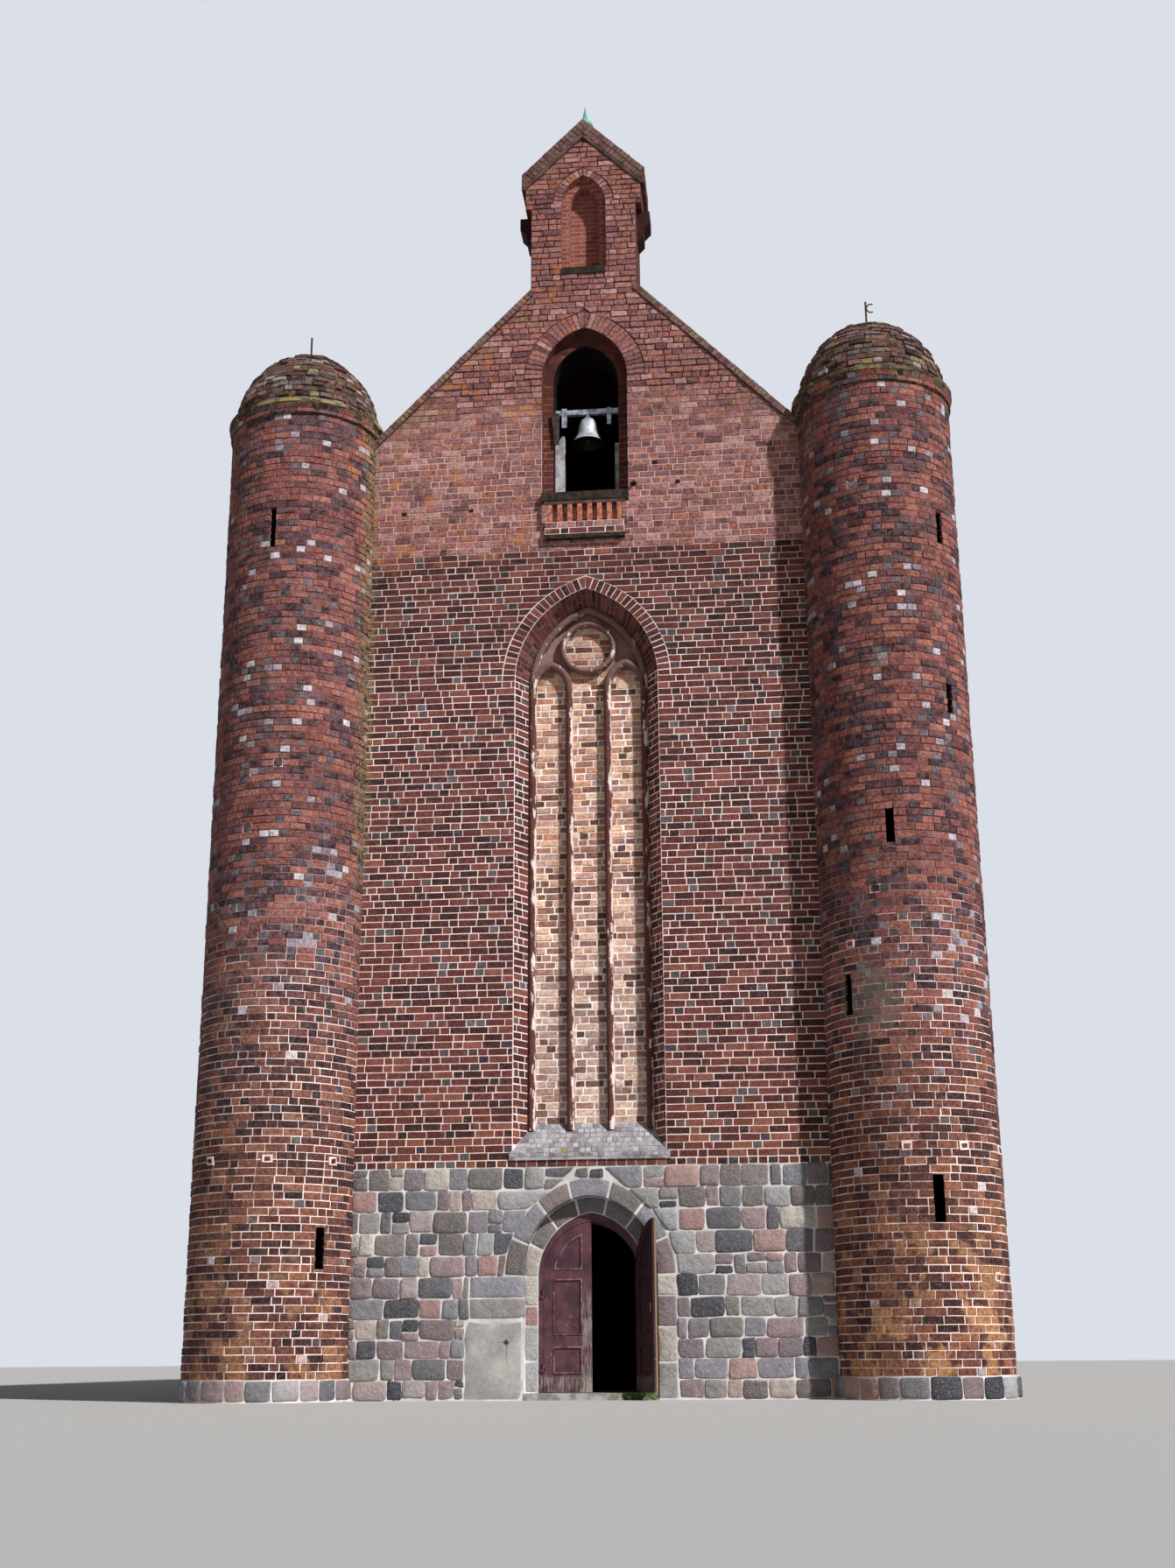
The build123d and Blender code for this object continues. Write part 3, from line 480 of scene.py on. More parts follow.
def door_jamb(side, u, z, out):
    """The front of the wall beside the door, which turns in at the arris for the depth of the reveal."""
    out = out * np.where(np.abs(u) < HAIR, ARRIS_SOFTNESS, 1.0)
    x = np.where(u <= HAIR, DOOR_HALF - u, DOOR_HALF) - np.where(u >= -HAIR, out, 0)
    y = FACE + np.clip(u, 0, None) - np.where(u <= HAIR, out, 0)
    return np.stack([side * x, y, z], -1)


JAMBS = (
    (-1, "left", [1.10, 1.38, 1.68], [0.72, 0.3], CUT_STONES_EDGE),
    (1, "right", [0.02, 0.50, 0.98, 1.40, 1.68], [0.74, 0.98, 0.55, 1.0], RING_HALF),
)
for side, word, rows, tones, edge in JAMBS:
    near, far = DOOR_HALF - edge + HALF_JOINT, REVEAL - HALF_JOINT
    quads = stacked(near, far, rows, HALF_JOINT)
    fold = np.full(len(quads), -near / (far - near))
    set_stones(f"jamb_stones_{word}", quads, partial(door_jamb, side), 0.012, fold, tones, 0.5, side > 0)

# Voussoirs of the doorway: dressed granite in big blocks, cut to the arc and turned in round the
# arris. The inner order behind them is built of granite, one cream block and a patch of brick.
OUTER_MARKS, INNER_MARKS = [-1, -0.73, -0.42, -0.16, 0.16, 0.44, 0.73, 1], np.linspace(-1, 1, 8)
OUTER_TONES, INNER_TONES = [0.6, 0.28, 0.55, 0.32, 0.62, 0.3, 0.45], [0.98, 0.64, 0.6, 0.2, 0.22, 0.6, 0.64]
INNER_JAMBS = (
    (-1, "left", [0.10, 0.52, 1.0, 1.27, 1.68], [0.8, 0.78, 0.9, 1.0]),
    (1, "right", [0.10, 0.6, 1.1, 1.68], [0.6, 0.7, 0.62]),
)


def arch_point(arch, foot, share):
    """Places along an arch, where share is 1 at its foot below the springing and 0 at the apex."""
    half, spring = arch[:2]
    radius, centre = arc_of(*arch)
    straight = spring - foot
    way = (1 - share) * (straight + radius * math.acos(-centre / radius))
    angle = np.clip((way - straight) / radius, 0, None)
    low = way < straight
    x, z = centre + radius * np.cos(angle), spring + radius * np.sin(angle)
    return np.where(low, half, x), np.where(low, foot + way, z)


def arch_order(outer, inner, near, depth, crown, u, t, out):
    """A ring between two arches: u is 0 at its back, 1 at the arris and 2 at the end of the reveal.
    Its back is cut level at the height of crown."""
    back = arch_point(outer, RING_SPRING, np.abs(t))
    arris = arch_point(inner, RING_SPRING, np.abs(t))
    k = np.clip(u, 0, 1)
    top = np.minimum(back[1], crown)
    x, z = back[0] + (arris[0] - back[0]) * k, top + (arris[1] - top) * k
    inward = np.where(u >= 1 - HAIR, out * np.where(u < 1 + HAIR, ARRIS_SOFTNESS, 1.0), 0)
    toward = np.where(u <= 1 + HAIR, out * np.where(u > 1 - HAIR, ARRIS_SOFTNESS, 1.0), 0)
    climb = z - RING_SPRING + 0.3
    length = np.hypot(x, climb)
    x, z = x - inward * x / length, z - inward * climb / length
    return np.stack([np.sign(t + 1e-9) * x, FACE + near - toward + np.clip(u - 1, 0, 1) * depth, z], -1)


quads = stacked(0.03, 1.96, OUTER_MARKS, HALF_JOINT)[:, ::-1]
fold = (1 - quads[:, 0, 0]) / (quads[:, 1, 0] - quads[:, 0, 0])
outer_order = partial(arch_order, RING_ARCH, OUTER_ARCH, 0, REVEAL, RING_CROWN)
set_stones("portal_voussoirs", quads, outer_order, 0.014, fold, OUTER_TONES, 0.2)
quads = stacked(0.04, 0.97, INNER_MARKS, 0.008)[:, ::-1]
inner_order = partial(arch_order, OUTER_ARCH, INNER_ARCH, REVEAL, 0.0, RING_CROWN)
set_stones("inner_voussoirs", quads, inner_order, 0.010, None, INNER_TONES, 0.1)
for side, word, rows, tones in INNER_JAMBS:
    quads = stacked(*sorted((side * 0.775, side * 0.952)), rows, HALF_JOINT)
    set_stones(f"inner_jamb_{word}", quads, facing_front(REVEAL), 0.010, None, tones, 0.5)

# Threshold: one pale, worn slab of stone, let in between the jambs of the doorway, with green
# moss at its right end.
threshold, shader, place = new_finish("threshold_stone")
colour = clouded(place, blotched(place, 0.2, (176, 172, 164), (132, 130, 126)), 0.03, 0.8, 1.2)
moss = rising(axes_of(place)[0], 0.2, 0.5) * rising(mottle(place, 0.06), 0.4, 0.5)
colour = mixed(moss, colour, rgb(70, 92, 40))
cover(shader, colour, 0.9, mottle(place, 0.03), 0.006)
dress(threshold, "door_threshold")

# Cement patch beside the doorway: a smooth grey render over the lowest stones, trowelled on and
# cracked, with a wavy edge, a hole in it and the dark drip under the hole.
HOLE_X, HOLE_Z, CEMENT_THICK, CEMENT_STEPS = -1.19, 0.78, 0.02, 15
cement, shader, place = new_finish("cement_render")
colour = blotched(place, 0.45, (184, 180, 174), (155, 153, 151), 0.35, 0.65)
cracks = rising(0.5 - abs(mottle(place, 0.3, 6.0, 0.6) - 0.5), 0.49, 0.5)
colour = mixed(cracks * 0.5, clouded(place, colour, 0.05, 0.82, 1.17), rgb(92, 92, 88))
x, _, z = axes_of(place)
# The hole is painted dark, which is painted shade; the drip under it is a stain.
hole = rising(abs(x - HOLE_X) + abs(z - HOLE_Z) + mottle(place, 0.05) * 0.04, 0.075, 0.045)
drip = rising(0.012 - abs(x - HOLE_X - 0.01), 0.0, 0.006) * rising(z, 0.35, 0.7) * (z < HOLE_Z)
colour = mixed(hole + drip * 0.5, colour, rgb(58, 54, 52))
cover(shader, colour, 0.9, mottle(place, 0.12, 5.0), 0.01)
s, t = np.meshgrid(*[np.linspace(-1, 1, CEMENT_STEPS)] * 2)
out = CEMENT_THICK * np.sqrt(np.clip((1 - s**12) * (1 - t**12), 0, 1)) - 0.004
near, far = DOOR_HALF + 0.01, CEMENT_EDGE
u = -(near + far) / 2 + (far - near) / 2 * s + 0.012 * np.sin(9 * t) * (s < 0)
v = CEMENT_TOP / 2 * (1 + t) + 0.014 * np.sin(7 * s + 1) * (t > 0)
add_piece("cement_patch", front(u, v, out), grid_quads(1, CEMENT_STEPS, CEMENT_STEPS), cement,
          flat=np.stack([u, v], -1), smooth=True)

# Door frame and leaves: framed oak under oxblood paint that has worn pale on the mouldings and
# grey on the meeting stile and the bottom rail. The leaves hang on the pintles of the frame.
HINGE_X, HINGE_Y, LEAF_FRONT, LEAF_BACK, OPEN = 0.697, 0.23, 0.25, 0.31, math.radians(115)
PANEL_LEFT, PANEL_RIGHT, UPPER_PANEL, UPPER_FOOT = 0.151, 0.544, (0.544, 1.68, 2.292), 1.78
LOWER_PANELS, BEAD = ((0.36, 0.71), (0.88, 1.635)), 0.012
SIDES = ((-1, "left"), (1, "right"))


def door_paint(name, light, dark, stile, rail):
    """Oxblood paint with the grain of the wood; stile and rail are how grey the meeting stile and the
    bottom rail are."""
    finish, shader, place = new_finish(name)
    x, y, z = axes_of(place)
    side, deep = x - HINGE_X, y - (FACE + HINGE_Y)
    along = HINGE_X + side * math.cos(OPEN) + deep * math.sin(OPEN)
    inward = deep * math.cos(OPEN) - side * math.sin(OPEN)
    upright = place.node("VectorMath", {"operation": "MULTIPLY"}, {0: place, 1: (1.0, 1.0, 0.08)})
    grain = mottle(upright, 0.012, 4.0, 0.6)
    colour = shaded(blotched(place, 0.25, light, dark, 0.35, 0.65), 0.4 + grain * 1.2)
    bare = rising(0.17 - abs(x), 0.0, 0.06) * rising(1.7 - z, 0.0, 0.5) * stile
    bare = bare + rising(0.34 - z, 0.0, 0.05) * rail
    bare = bare * rising(mottle(place, 0.3, 4.0) * 0.5 + grain * 0.8, 0.55, 0.8)
    scuffs = rising(mottle(place, 0.04, 5.0, 0.7) + grain * 0.2, 0.68, 0.8) * rising(1.9 - z, 0.0, 1.2)
    colour = mixed(scuffs * 0.55, colour, rgb(160, 142, 142))
    colour = mixed(bare * 0.8, colour, rgb(158, 148, 142))
    colour = mixed((along < 0.012) * (inward < 0.05) * (x > 0.7) * 0.8, colour, rgb(150, 118, 94))
    cover(shader, colour, 0.6, grain, 0.002)
    return finish


dress(door_paint("oxblood_paint", (98, 62, 69), (70, 46, 54), 1.0, 0.9), "door_frame", "door_leaf_left")
# The right leaf, turned open, and its mouldings get a darker copy of the same oxblood paint: painted shade.
dress(door_paint("oxblood_paint_painted_shade", (60, 34, 38), (44, 25, 31), 0.0, 0.3), "door_leaf_right")
worn_paint = patchy("worn_moulding", (132, 104, 108), (84, 54, 60), 0.1, 0.7)


def leaf_face(side, near, u, v, out):
    """A face of a door leaf from its meeting edge: drawn shut, and the right-hand one turned open."""
    x, y = u, (LEAF_FRONT - out if near else LEAF_BACK + out)
    if side > 0:
        a, b = x - HINGE_X, y - HINGE_Y
        x = HINGE_X + a * math.cos(OPEN) - b * math.sin(OPEN)
        y = HINGE_Y + a * math.sin(OPEN) + b * math.cos(OPEN)
    return np.stack([side * x, y + FACE, v], -1)


def unit(ways):
    return ways / np.linalg.norm(ways, axis=1)[:, None]


def set_rods(name, paths, radius, surface, finish, body="chapel", turned_over=False):
    """Half-round rods along paths on a face, mitred at each turn."""
    swing = np.linspace(math.pi, 0, 8)
    points, quads, count = [], [], 0
    for way in paths:
        way = np.array(way, float)
        steps = unit(np.diff(way, axis=0))
        before = np.vstack([steps[:1], steps])
        after = np.vstack([steps, steps[-1:]])
        if np.allclose(way[0], way[-1]):
            before[0], after[-1] = steps[-1], steps[0]
        middle = unit(before + after)
        middle = middle / np.clip((middle * after).sum(1), 0.3, 1)[:, None]
        u = way[:, :1] + middle[:, 1:] * np.cos(swing) * radius
        v = way[:, 1:] - middle[:, :1] * np.cos(swing) * radius
        points.append(surface(u, v, np.sin(swing) * radius + 0 * u).reshape(-1, 3))
        quads.append(grid_quads(1, len(way), len(swing)).reshape(-1, 4) + count)
        count += len(points[-1])
    add_piece(name, np.vstack(points), np.vstack(quads), finish, body, smooth=True,
              turned_over=turned_over)


radius, centre = arc_of(*UPPER_PANEL)
angles = np.linspace(math.asin(0.1 / radius), math.acos((PANEL_LEFT - centre) / radius), 10)
beads = [[(centre + radius * math.cos(a), UPPER_PANEL[1] + radius * math.sin(a)) for a in angles]]
beads[0] = [(PANEL_LEFT, UPPER_FOOT)] + beads[0] + [(PANEL_LEFT, UPPER_FOOT)]
for low, high in LOWER_PANELS:
    round_it = cut(PANEL_LEFT, PANEL_RIGHT, low, high)
    beads.append(round_it + round_it[:1])
for side, word in SIDES:
    for near, which in ((True, "outer"), (False, "inner")):
        finish = worn_paint if side < 0 else nodes["door_leaf_right"].data.materials[0]
        set_rods(f"{word}_leaf_{which}_mouldings", beads, BEAD, partial(leaf_face, side, near), finish,
                 f"{word}_leaf", (side > 0) != near)
u, v = np.meshgrid((0.05, 0.08), (1.17, 1.29))
pale_iron = patchy("pale_handle", (206, 202, 200), (150, 146, 144), 0.02, 0.5)
handle = leaf_face(1, False, u, v, np.full((2, 2), 0.016))
add_piece("door_handle", handle, grid_quads(1, 2, 2), pale_iron, "right_leaf")

# Brickwork of the front: large old bricks laid in monk bond, two stretchers to a header, with
# pale lime joints. The wall node is the lime, and where no brick is laid on it it shows courses.
STRETCHER, HEADER, COURSE = 0.285, 0.145, (0.29, 0.11)
WINDOW_ARCH = (1.12, 10.70, 12.226)
WINDOW_HALF, WINDOW_SPRING = WINDOW_ARCH[:2]
RING_MIDDLE, RING_RADIUS, RING_BAR = 11.33, 0.40, 0.04
BAND_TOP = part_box("front_wall_over_window")[1].z
GABLE_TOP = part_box("gable_left")[1].z + 0.16
COTE_HALF, SLOPE = 0.89, 2.5 / 2.41
TURRET_X, TURRET_Y, TURRET_RADIUS, SKIN = 4.65, FACE + 0.16, 1.2, 0.004
NAVE_HALF = 4.65
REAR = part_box("rear_wall")[1].y
MOSS_PLACE = (TURRET_X - TURRET_RADIUS * 0.5, TURRET_Y - TURRET_RADIUS * math.sqrt(0.75), 5.4)


def grown_over(colour, place):
    """Yellow-green lichen down the seam by the left turret and beside the copings, orange in places, a sooty
    darkening over the blind window and grey moss by a slit of the right turret."""
    x, y, z = axes_of(place)
    seam = rising(0.13 - abs(x + SEAM), 0.0, 0.1) * rising(z, 6.0, 9.0)
    slope = rising(z + abs(x) * SLOPE, 17.6, 18.4) * rising(17.6 - z, 0.0, 0.3)
    slope = slope * rising(mottle(place, 0.4), 0.5, 0.62)
    in_front = (y < FACE + 1.0) * (abs(x) < SEAM + 0.3)
    on_wall = abs(x) < SEAM
    spots = (seam + slope * on_wall) * rising(mottle(place, 0.05), 0.42, 0.58) * in_front
    orange = rising(mottle(place, 0.3), 0.56, 0.68) * rising(0.4 - x, 0.0, 1.0)
    orange = orange * rising(z, 12.2, 13.2) * in_front
    sooty = rising(z, 10.4, 11.4) * rising(BAND_TOP - z, 0.0, 0.2) * in_front * on_wall
    away = place.node("VectorMath", {"operation": "DISTANCE"}, {0: place, 1: MOSS_PLACE}, out=1)
    grey_moss = rising(away + mottle(place, 0.12, 4.0) * 0.9, 1.05, 0.75)
    colour = mixed(grey_moss * 0.4, shaded(colour, 1.0 - sooty * 0.18), rgb(132, 126, 112))
    colour = mixed(orange * 0.55, colour, rgb(196, 124, 66))
    return mixed(spots * 0.6, colour, rgb(142, 134, 86))


def course_print(place, along, up, size, gap, *colours):
    """Courses drawn in colour only, for faces that no brick is laid on."""
    values = dict(zip(("Color1", "Color2", "Mortar", "Brick Width", "Row Height"), colours + size))
    values["Vector"] = place.node("CombineXYZ", {}, {0: along, 1: up})
    return place.node("TexBrick", {}, {"Scale": 1.0, "Mortar Size": gap, "Mortar Smooth": 0.3, **values})


def burnt_brick(name, low, high, change, headers, glazed=0.5, depth=0.006, lilac_bloom_and_sky_tint=0.14, speckle=0.5,
                rare=0.0):
    """Bricks whose tones are those of low and, above the height of change, of high; some ends are glazed,
    fewer of them low down by the share of rare, and a lilac tint lies over them, partly efflorescence and
    partly a painted cool cast of skylight. speckle is how much the tone varies within a brick."""
    finish, shader, place = new_finish(name)
    tone, kind, second = grain_of(shader)
    x, _, z = axes_of(place)
    upper = rising(z + mottle(place, 1.2) * 2, change, change + 2.5)
    body = mixed(upper, ramp(tone, *low), ramp(tone, *high))
    end = kind * rising(second + (upper - 1.0) * rare, glazed, glazed + 0.05)
    colour = mixed(end, body, ramp(tone, *headers))
    ochre = rising(mottle(place, 0.5, 4.0) + second * 0.12, 0.56, 0.64) * rising(3.2 - z, 0.0, 2.2)
    colour = mixed(ochre * (0.45 + (x > SEAM) * 0.35), colour, rgb(178, 128, 84))
    fine = rising(mottle(place, 0.05, 4.0, 0.65), 0.3, 0.7) * speckle
    colour = shaded(colour, 0.725 - speckle / 2 + fine + mottle(place, 0.5) * 0.55)
    # A lilac tint over the bricks: partly a bloom, partly a painted cool cast of skylight.
    lilac = rising(mottle(place, 0.1, 4.0, 0.7), 0.35, 0.7) * (0.3 + rising(z, 3.0, 7.0) * 0.7)
    colour = mixed(lilac * lilac_bloom_and_sky_tint, colour, rgb(160, 146, 164))
    stain = rising(mottle(place, 0.03, 3.0, 0.7), 0.58, 0.7)
    colour = grown_over(mixed(stain * 0.3, colour, rgb(196, 168, 160)), place)
    cover(shader, colour, 0.9, mottle(place, 0.03, 4.0) + mottle(place, 0.008) * 0.4, depth)
    return finish


WARM = ((56, 34, 31), (80, 45, 38), (100, 57, 46), (120, 71, 54), (150, 98, 70))
RED = ((58, 32, 32), (72, 39, 36), (88, 45, 40), (100, 51, 45), (112, 59, 51), (136, 82, 71))
PALE_RED = (
    (96, 60, 58), (144, 92, 84), (132, 88, 88), (152, 102, 94), (154, 92, 74), (166, 116, 110), (182, 136, 128),
)
GLAZED = ((54, 44, 46), (78, 70, 72), (102, 96, 98), (84, 58, 56))
front_brick = burnt_brick("front_brick", WARM, RED, 3.2, GLAZED, 0.65, lilac_bloom_and_sky_tint=0.05)
gable_brick = burnt_brick("gable_brick", PALE_RED, PALE_RED, 0.0, PALE_RED, 0.5, 0.012, 0.14, 0.9)


def within(place, half, depths, heights):
    """1 in a block over the middle of the front, half wide to both sides, and else 0."""
    x, y, z = axes_of(place)
    deep = (y > FACE + depths[0]) * (y < FACE + depths[1])
    return deep * (abs(x) < half) * (z > heights[0]) * (z < heights[1])


brick_wall, shader, place = new_finish("brick_wall")
x, y, z = axes_of(place)
out, back = abs(x) - TURRET_X, y - TURRET_Y
distance = out.sum("SQRT", out * out + back * back)
on_drum = abs(distance - TURRET_RADIUS) < SKIN
in_splay = within(place, 1.13, (0.0, 0.31), (3.3, 12.3))
on_flank = (abs(abs(x) - NAVE_HALF) < SKIN) * (abs(y - (FACE + 10.76)) < 9.4)
on_rear = (abs(y - REAR) < SKIN) * (abs(x) < NAVE_HALF)
outside = in_splay + (abs(y - FACE) < SKIN) + on_rear + on_flank + on_drum > 0.5
in_front = y < FACE + 1.0
worn = on_drum * rising(z + mottle(place, 1.0) * 2, 6.0, 9.0)
high_up = rising(z + mottle(place, 0.6) * 1.2, BAND_TOP - 0.3, BAND_TOP + 0.7)
worn = worn + (1.0 - on_drum) * in_front * high_up
lime = mixed(worn, rgb(250, 226, 218), mixed(on_drum, rgb(214, 178, 168), rgb(124, 86, 80)))
in_arch = in_splay * (z > WINDOW_SPRING + 0.1)
# In the head of the blind window's splay and in the bell opening's reveals the joints are painted darker: painted
# shade in the recesses.
lime = mixed(in_arch + within(place, 0.75, (0.005, 0.215), (13.8, 17.0)), lime, rgb(140, 104, 98))
# High on the gable the joints turn dark brown: partly worn mortar, partly painted shade in the eroded joints.
lime = mixed(rising(z + mottle(place, 0.8) * 2, 15.6, 17.0) * in_front, lime, rgb(84, 52, 48))
lime = shaded(lime, 0.5 + mottle(place, 0.5) * 0.45 + mottle(place, 0.06, 3.0, 0.7) * 0.5)
lime = grown_over(lime, place)
printed = course_print(place, x + y, z, COURSE, 0.008, rgb(*RED[1]), rgb(*RED[3]), lime)
printed = clouded(place, printed, 0.08, 0.7, 1.3, 4.0)
in_bell_window, in_shaft = within(place, 0.56, (0.215, 0.95), (13.8, 16.8)), distance < TURRET_RADIUS - 0.05
# Behind the bell opening and inside the turret shafts the printed courses are painted nearly black: painted shade.
printed = shaded(printed, 1.0 - (in_bell_window + in_shaft > 0.5) * 0.94)
niche = rgb(124, 66, 58), rgb(152, 88, 76), rgb(158, 122, 112)
niche = clouded(place, course_print(place, x + y, z, (0.29, 0.085), 0.011, *niche), 0.08, 0.7, 1.3, 4.0)
printed = mixed(within(place, 0.45, (0.01, 0.8), (17.9, 22.0)), printed, niche)
on_corbel = within(place, 1.2, (0.2, 2.0), (18.61, 19.25)) * (abs(x) > COTE_HALF + 0.003)
# The sides of the corbels under the bell-cote's head are painted darker: painted shade.
printed = shaded(printed, 1.0 - on_corbel * 0.6)
on_ledge = (y < FACE - 0.012) * (abs(x) < 0.75)
# The front of the ledge under the bell parapet is painted near black: partly moss, partly painted shade.
printed = mixed(on_ledge, printed, blotched(place, 0.08, (38, 31, 29), (62, 54, 42)))
up = z - RING_MIDDLE
in_ring = x * x + up * up < RING_RADIUS * RING_RADIUS
plaster = mixed(in_ring + (z < 10.95) > 0.5, rgb(142, 112, 106), rgb(206, 190, 182))
in_panel = within(place, 0.95, (0.39, 0.41), (10.65, 12.15))
printed = mixed(in_panel, printed, clouded(place, plaster, 0.15, 0.6, 1.4, 4.0))
cover(shader, mixed(outside, printed, lime), 0.93, mottle(place, 0.02, 4.0), 0.004)
dress(brick_wall, "front_wall", "gable_", "bell_balustrade", "bellcote", "turret", "nave_wall", "buttresses",
      "rear_", "nave_tracery", but=("plinth", "spike", "vane", "cap", "granite"))


def wild_bond(row):
    """No order: stretchers, headers and three-quarter bricks."""
    sizes = [STRETCHER, HEADER, 0.2, HEADER, STRETCHER, 0.24]
    run = dice.choice(sizes, 400) + dice.uniform(-0.012, 0.012, 400)
    return run, (run < 0.18) * 1.0


def monk_bond(row):
    """Two stretchers and a header, each course shifted against the last."""
    run = np.tile([STRETCHER, STRETCHER, HEADER], 160)
    run = run + dice.uniform(-0.012, 0.012, run.size)
    run = np.where(dice.uniform(0, 1, run.size) < 0.07, HEADER, run)
    run[0] += (row % 2) * 0.357 + dice.uniform(-0.06, 0.06)
    return run, (run < 0.2) * 1.0


def header_bond(row):
    return HEADER + dice.uniform(-0.008, 0.008, 600), np.ones(600) * (dice.uniform(0, 1, 600) < 0.5)


def set_bricks(name, finish, surface, corners, kinds=0.0, proud=(0.003, 0.008), steps=1, lean=0.0,
               rough=0.003, slot="brick", turned_over=False):
    """Bricks that stand a few millimetres proud of their joints, each with soft, uneven edges."""
    corners = np.asarray(corners)
    n = len(corners)
    corners = corners + dice.uniform(-rough, rough, corners.shape)
    s, t = np.meshgrid(np.linspace(0, 1, steps + 1), [0.0, 1.0])
    base = across(corners, s, t)
    inset = base + np.sign(corners.mean(1)[:, None, None] - base) * 0.004
    flat = np.stack([base, inset], 1)
    out = np.full(flat.shape[:-1], -0.003)
    out[:, 1] = dice.uniform(*proud, (n, 1, 1)) * (1 - lean * t) * dice.uniform(0.8, 1.2, (n, 2, steps + 1))
    index = np.arange(n * 4 * (steps + 1)).reshape(n, 2, 2, steps + 1)
    base_low, base_top, low, top = (index[:, i, j] for i in (0, 1) for j in (0, 1))
    faces = []
    for i in range(steps):
        near, far = i, i + 1
        faces.append([low[:, near], low[:, far], top[:, far], top[:, near]])
        faces.append([base_low[:, near], base_low[:, far], low[:, far], low[:, near]])
        faces.append([top[:, near], top[:, far], base_top[:, far], base_top[:, near]])
    faces.append([base_low[:, 0], low[:, 0], top[:, 0], base_top[:, 0]])
    faces.append([low[:, -1], base_low[:, -1], base_top[:, -1], top[:, -1]])
    laid = np.stack([dice.uniform(0, 1, n), kinds + np.zeros(n), dice.uniform(0, 1, n)], 1)
    laid = np.repeat(laid, 4 * (steps + 1), 0)
    points, quads = surface(flat[..., 0], flat[..., 1], out), np.array(faces).transpose(2, 0, 1)
    add_piece(name, points, quads, finish, flat=flat, laid=laid, turned_over=turned_over)


def build(name, finish, surface, beds, edges, bond=monk_bond, joint=0.014, holes=(), fat_lime=0.0,
          **laying):
    """Lay courses on a face; fat_lime is the share of the headers that sit in a smear of white lime."""
    corners, kinds = lay_courses(beds, edges, bond, joint, holes)
    set_bricks(name, finish, surface, corners, kinds, **laying)
    if fat_lime:
        picked = corners[(kinds > 0) & (dice.uniform(0, 1, len(kinds)) < fat_lime)]
        middle = picked.mean(1)[:, None]
        smears = middle + (picked - middle) * (1.28, 1.42)
        set_bricks(name + "_lime", white_lime, surface, smears, proud=(0.0015, 0.002), rough=0.008)


def ring_bricks(arch, inner=0.006, outer=0.19, pitch=0.092, joint=0.016):
    """Bricks on end round a pointed arch, from inner to outer beyond its line."""
    spring = arch[1]
    radius, centre = arc_of(*arch)
    end = math.acos(-centre / (radius + (inner + outer) / 2))
    angle = np.linspace(0, end, int(round(radius * end / pitch)) + 1)
    gap = joint / 2 / radius
    corners = []
    for a, b in zip(angle[:-1] + gap, angle[1:] - gap):
        quad = [(centre + (radius + r) * math.cos(t), spring + (radius + r) * math.sin(t))
                for r, t in ((inner, a), (outer, a), (outer, b), (inner, b))]
        if b + gap > end - 1e-6:
            top = spring + math.sqrt((radius + outer) ** 2 - centre**2)
            quad[2:] = [(joint / 4, top), (joint / 4, quad[3][1])]
        corners += [quad, [(-quad[i][0], quad[i][1]) for i in (1, 0, 3, 2)]]
    return corners


white_lime = patchy("fat_lime", (246, 228, 222), (222, 200, 194), 0.1)
low, high = np.linspace(GRANITE_TOP, WINDOW_SPRING, 70), np.linspace(WINDOW_SPRING, BAND_TOP, 21)
window_hole = [(0, arch_hole(WINDOW_ARCH, 0.2))]
build("front_heading_course", front_brick, front, low[:2], lines(-SEAM, SEAM), header_bond, 0.016)
build("front_bricks", front_brick, front, np.append(low[1:], high[1:]), lines(-SEAM, SEAM), monk_bond, 0.0125,
      window_hole, 0.05)
set_bricks("blind_window_ring", front_brick, front, ring_bricks(WINDOW_ARCH))

# Blind window: bricks round its splay, an ochre panel of old bricks with cream joints behind, round moulded
# bricks with scraps of plaster for its bars, paler on their sunlit right sides as a painted highlight, and a
# sloped sill of grey bricks on edge.
SPLAY, SPLAY_IN, PANEL, ROLL = 0.30, 0.185, 0.40, 0.055
LIGHT_X, LIGHT_HALF, LIGHT_SPRING, LIGHT_TOP = 0.59, 0.235, 10.6475, 11.0
SILL_FRONT, SILL_BACK, SILL_HALF = GRANITE_TOP + 0.2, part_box("blind_window_sill")[1].z, 1.165
SILL_OUT, SILL_DEPTH = 0.03, 0.43
OCHRE = (
    (84, 54, 46), (176, 122, 98), (218, 164, 130), (236, 196, 164), (162, 110, 94), (200, 160, 148), (132, 90, 76),
)
PALE_OCHRE = (
    (80, 58, 54), (166, 126, 112), (202, 168, 150), (224, 198, 180), (152, 116, 108), (188, 162, 156),
    (120, 90, 84),
)
dress(patchy("cream_joints", (255, 246, 240), (240, 220, 210), 0.4, 0.95), "blind_window_panel")
ochre_brick = burnt_brick("ochre_brick", PALE_OCHRE, OCHRE, 6.2, ((138, 96, 70), (84, 56, 48)), 0.7,
                          lilac_bloom_and_sky_tint=0.05, speckle=0.7)
head = grown(WINDOW_ARCH, -SPLAY_IN)


def ring_edge(z):
    return math.sqrt(max(RING_RADIUS**2 - (z - RING_MIDDLE) ** 2, 0))


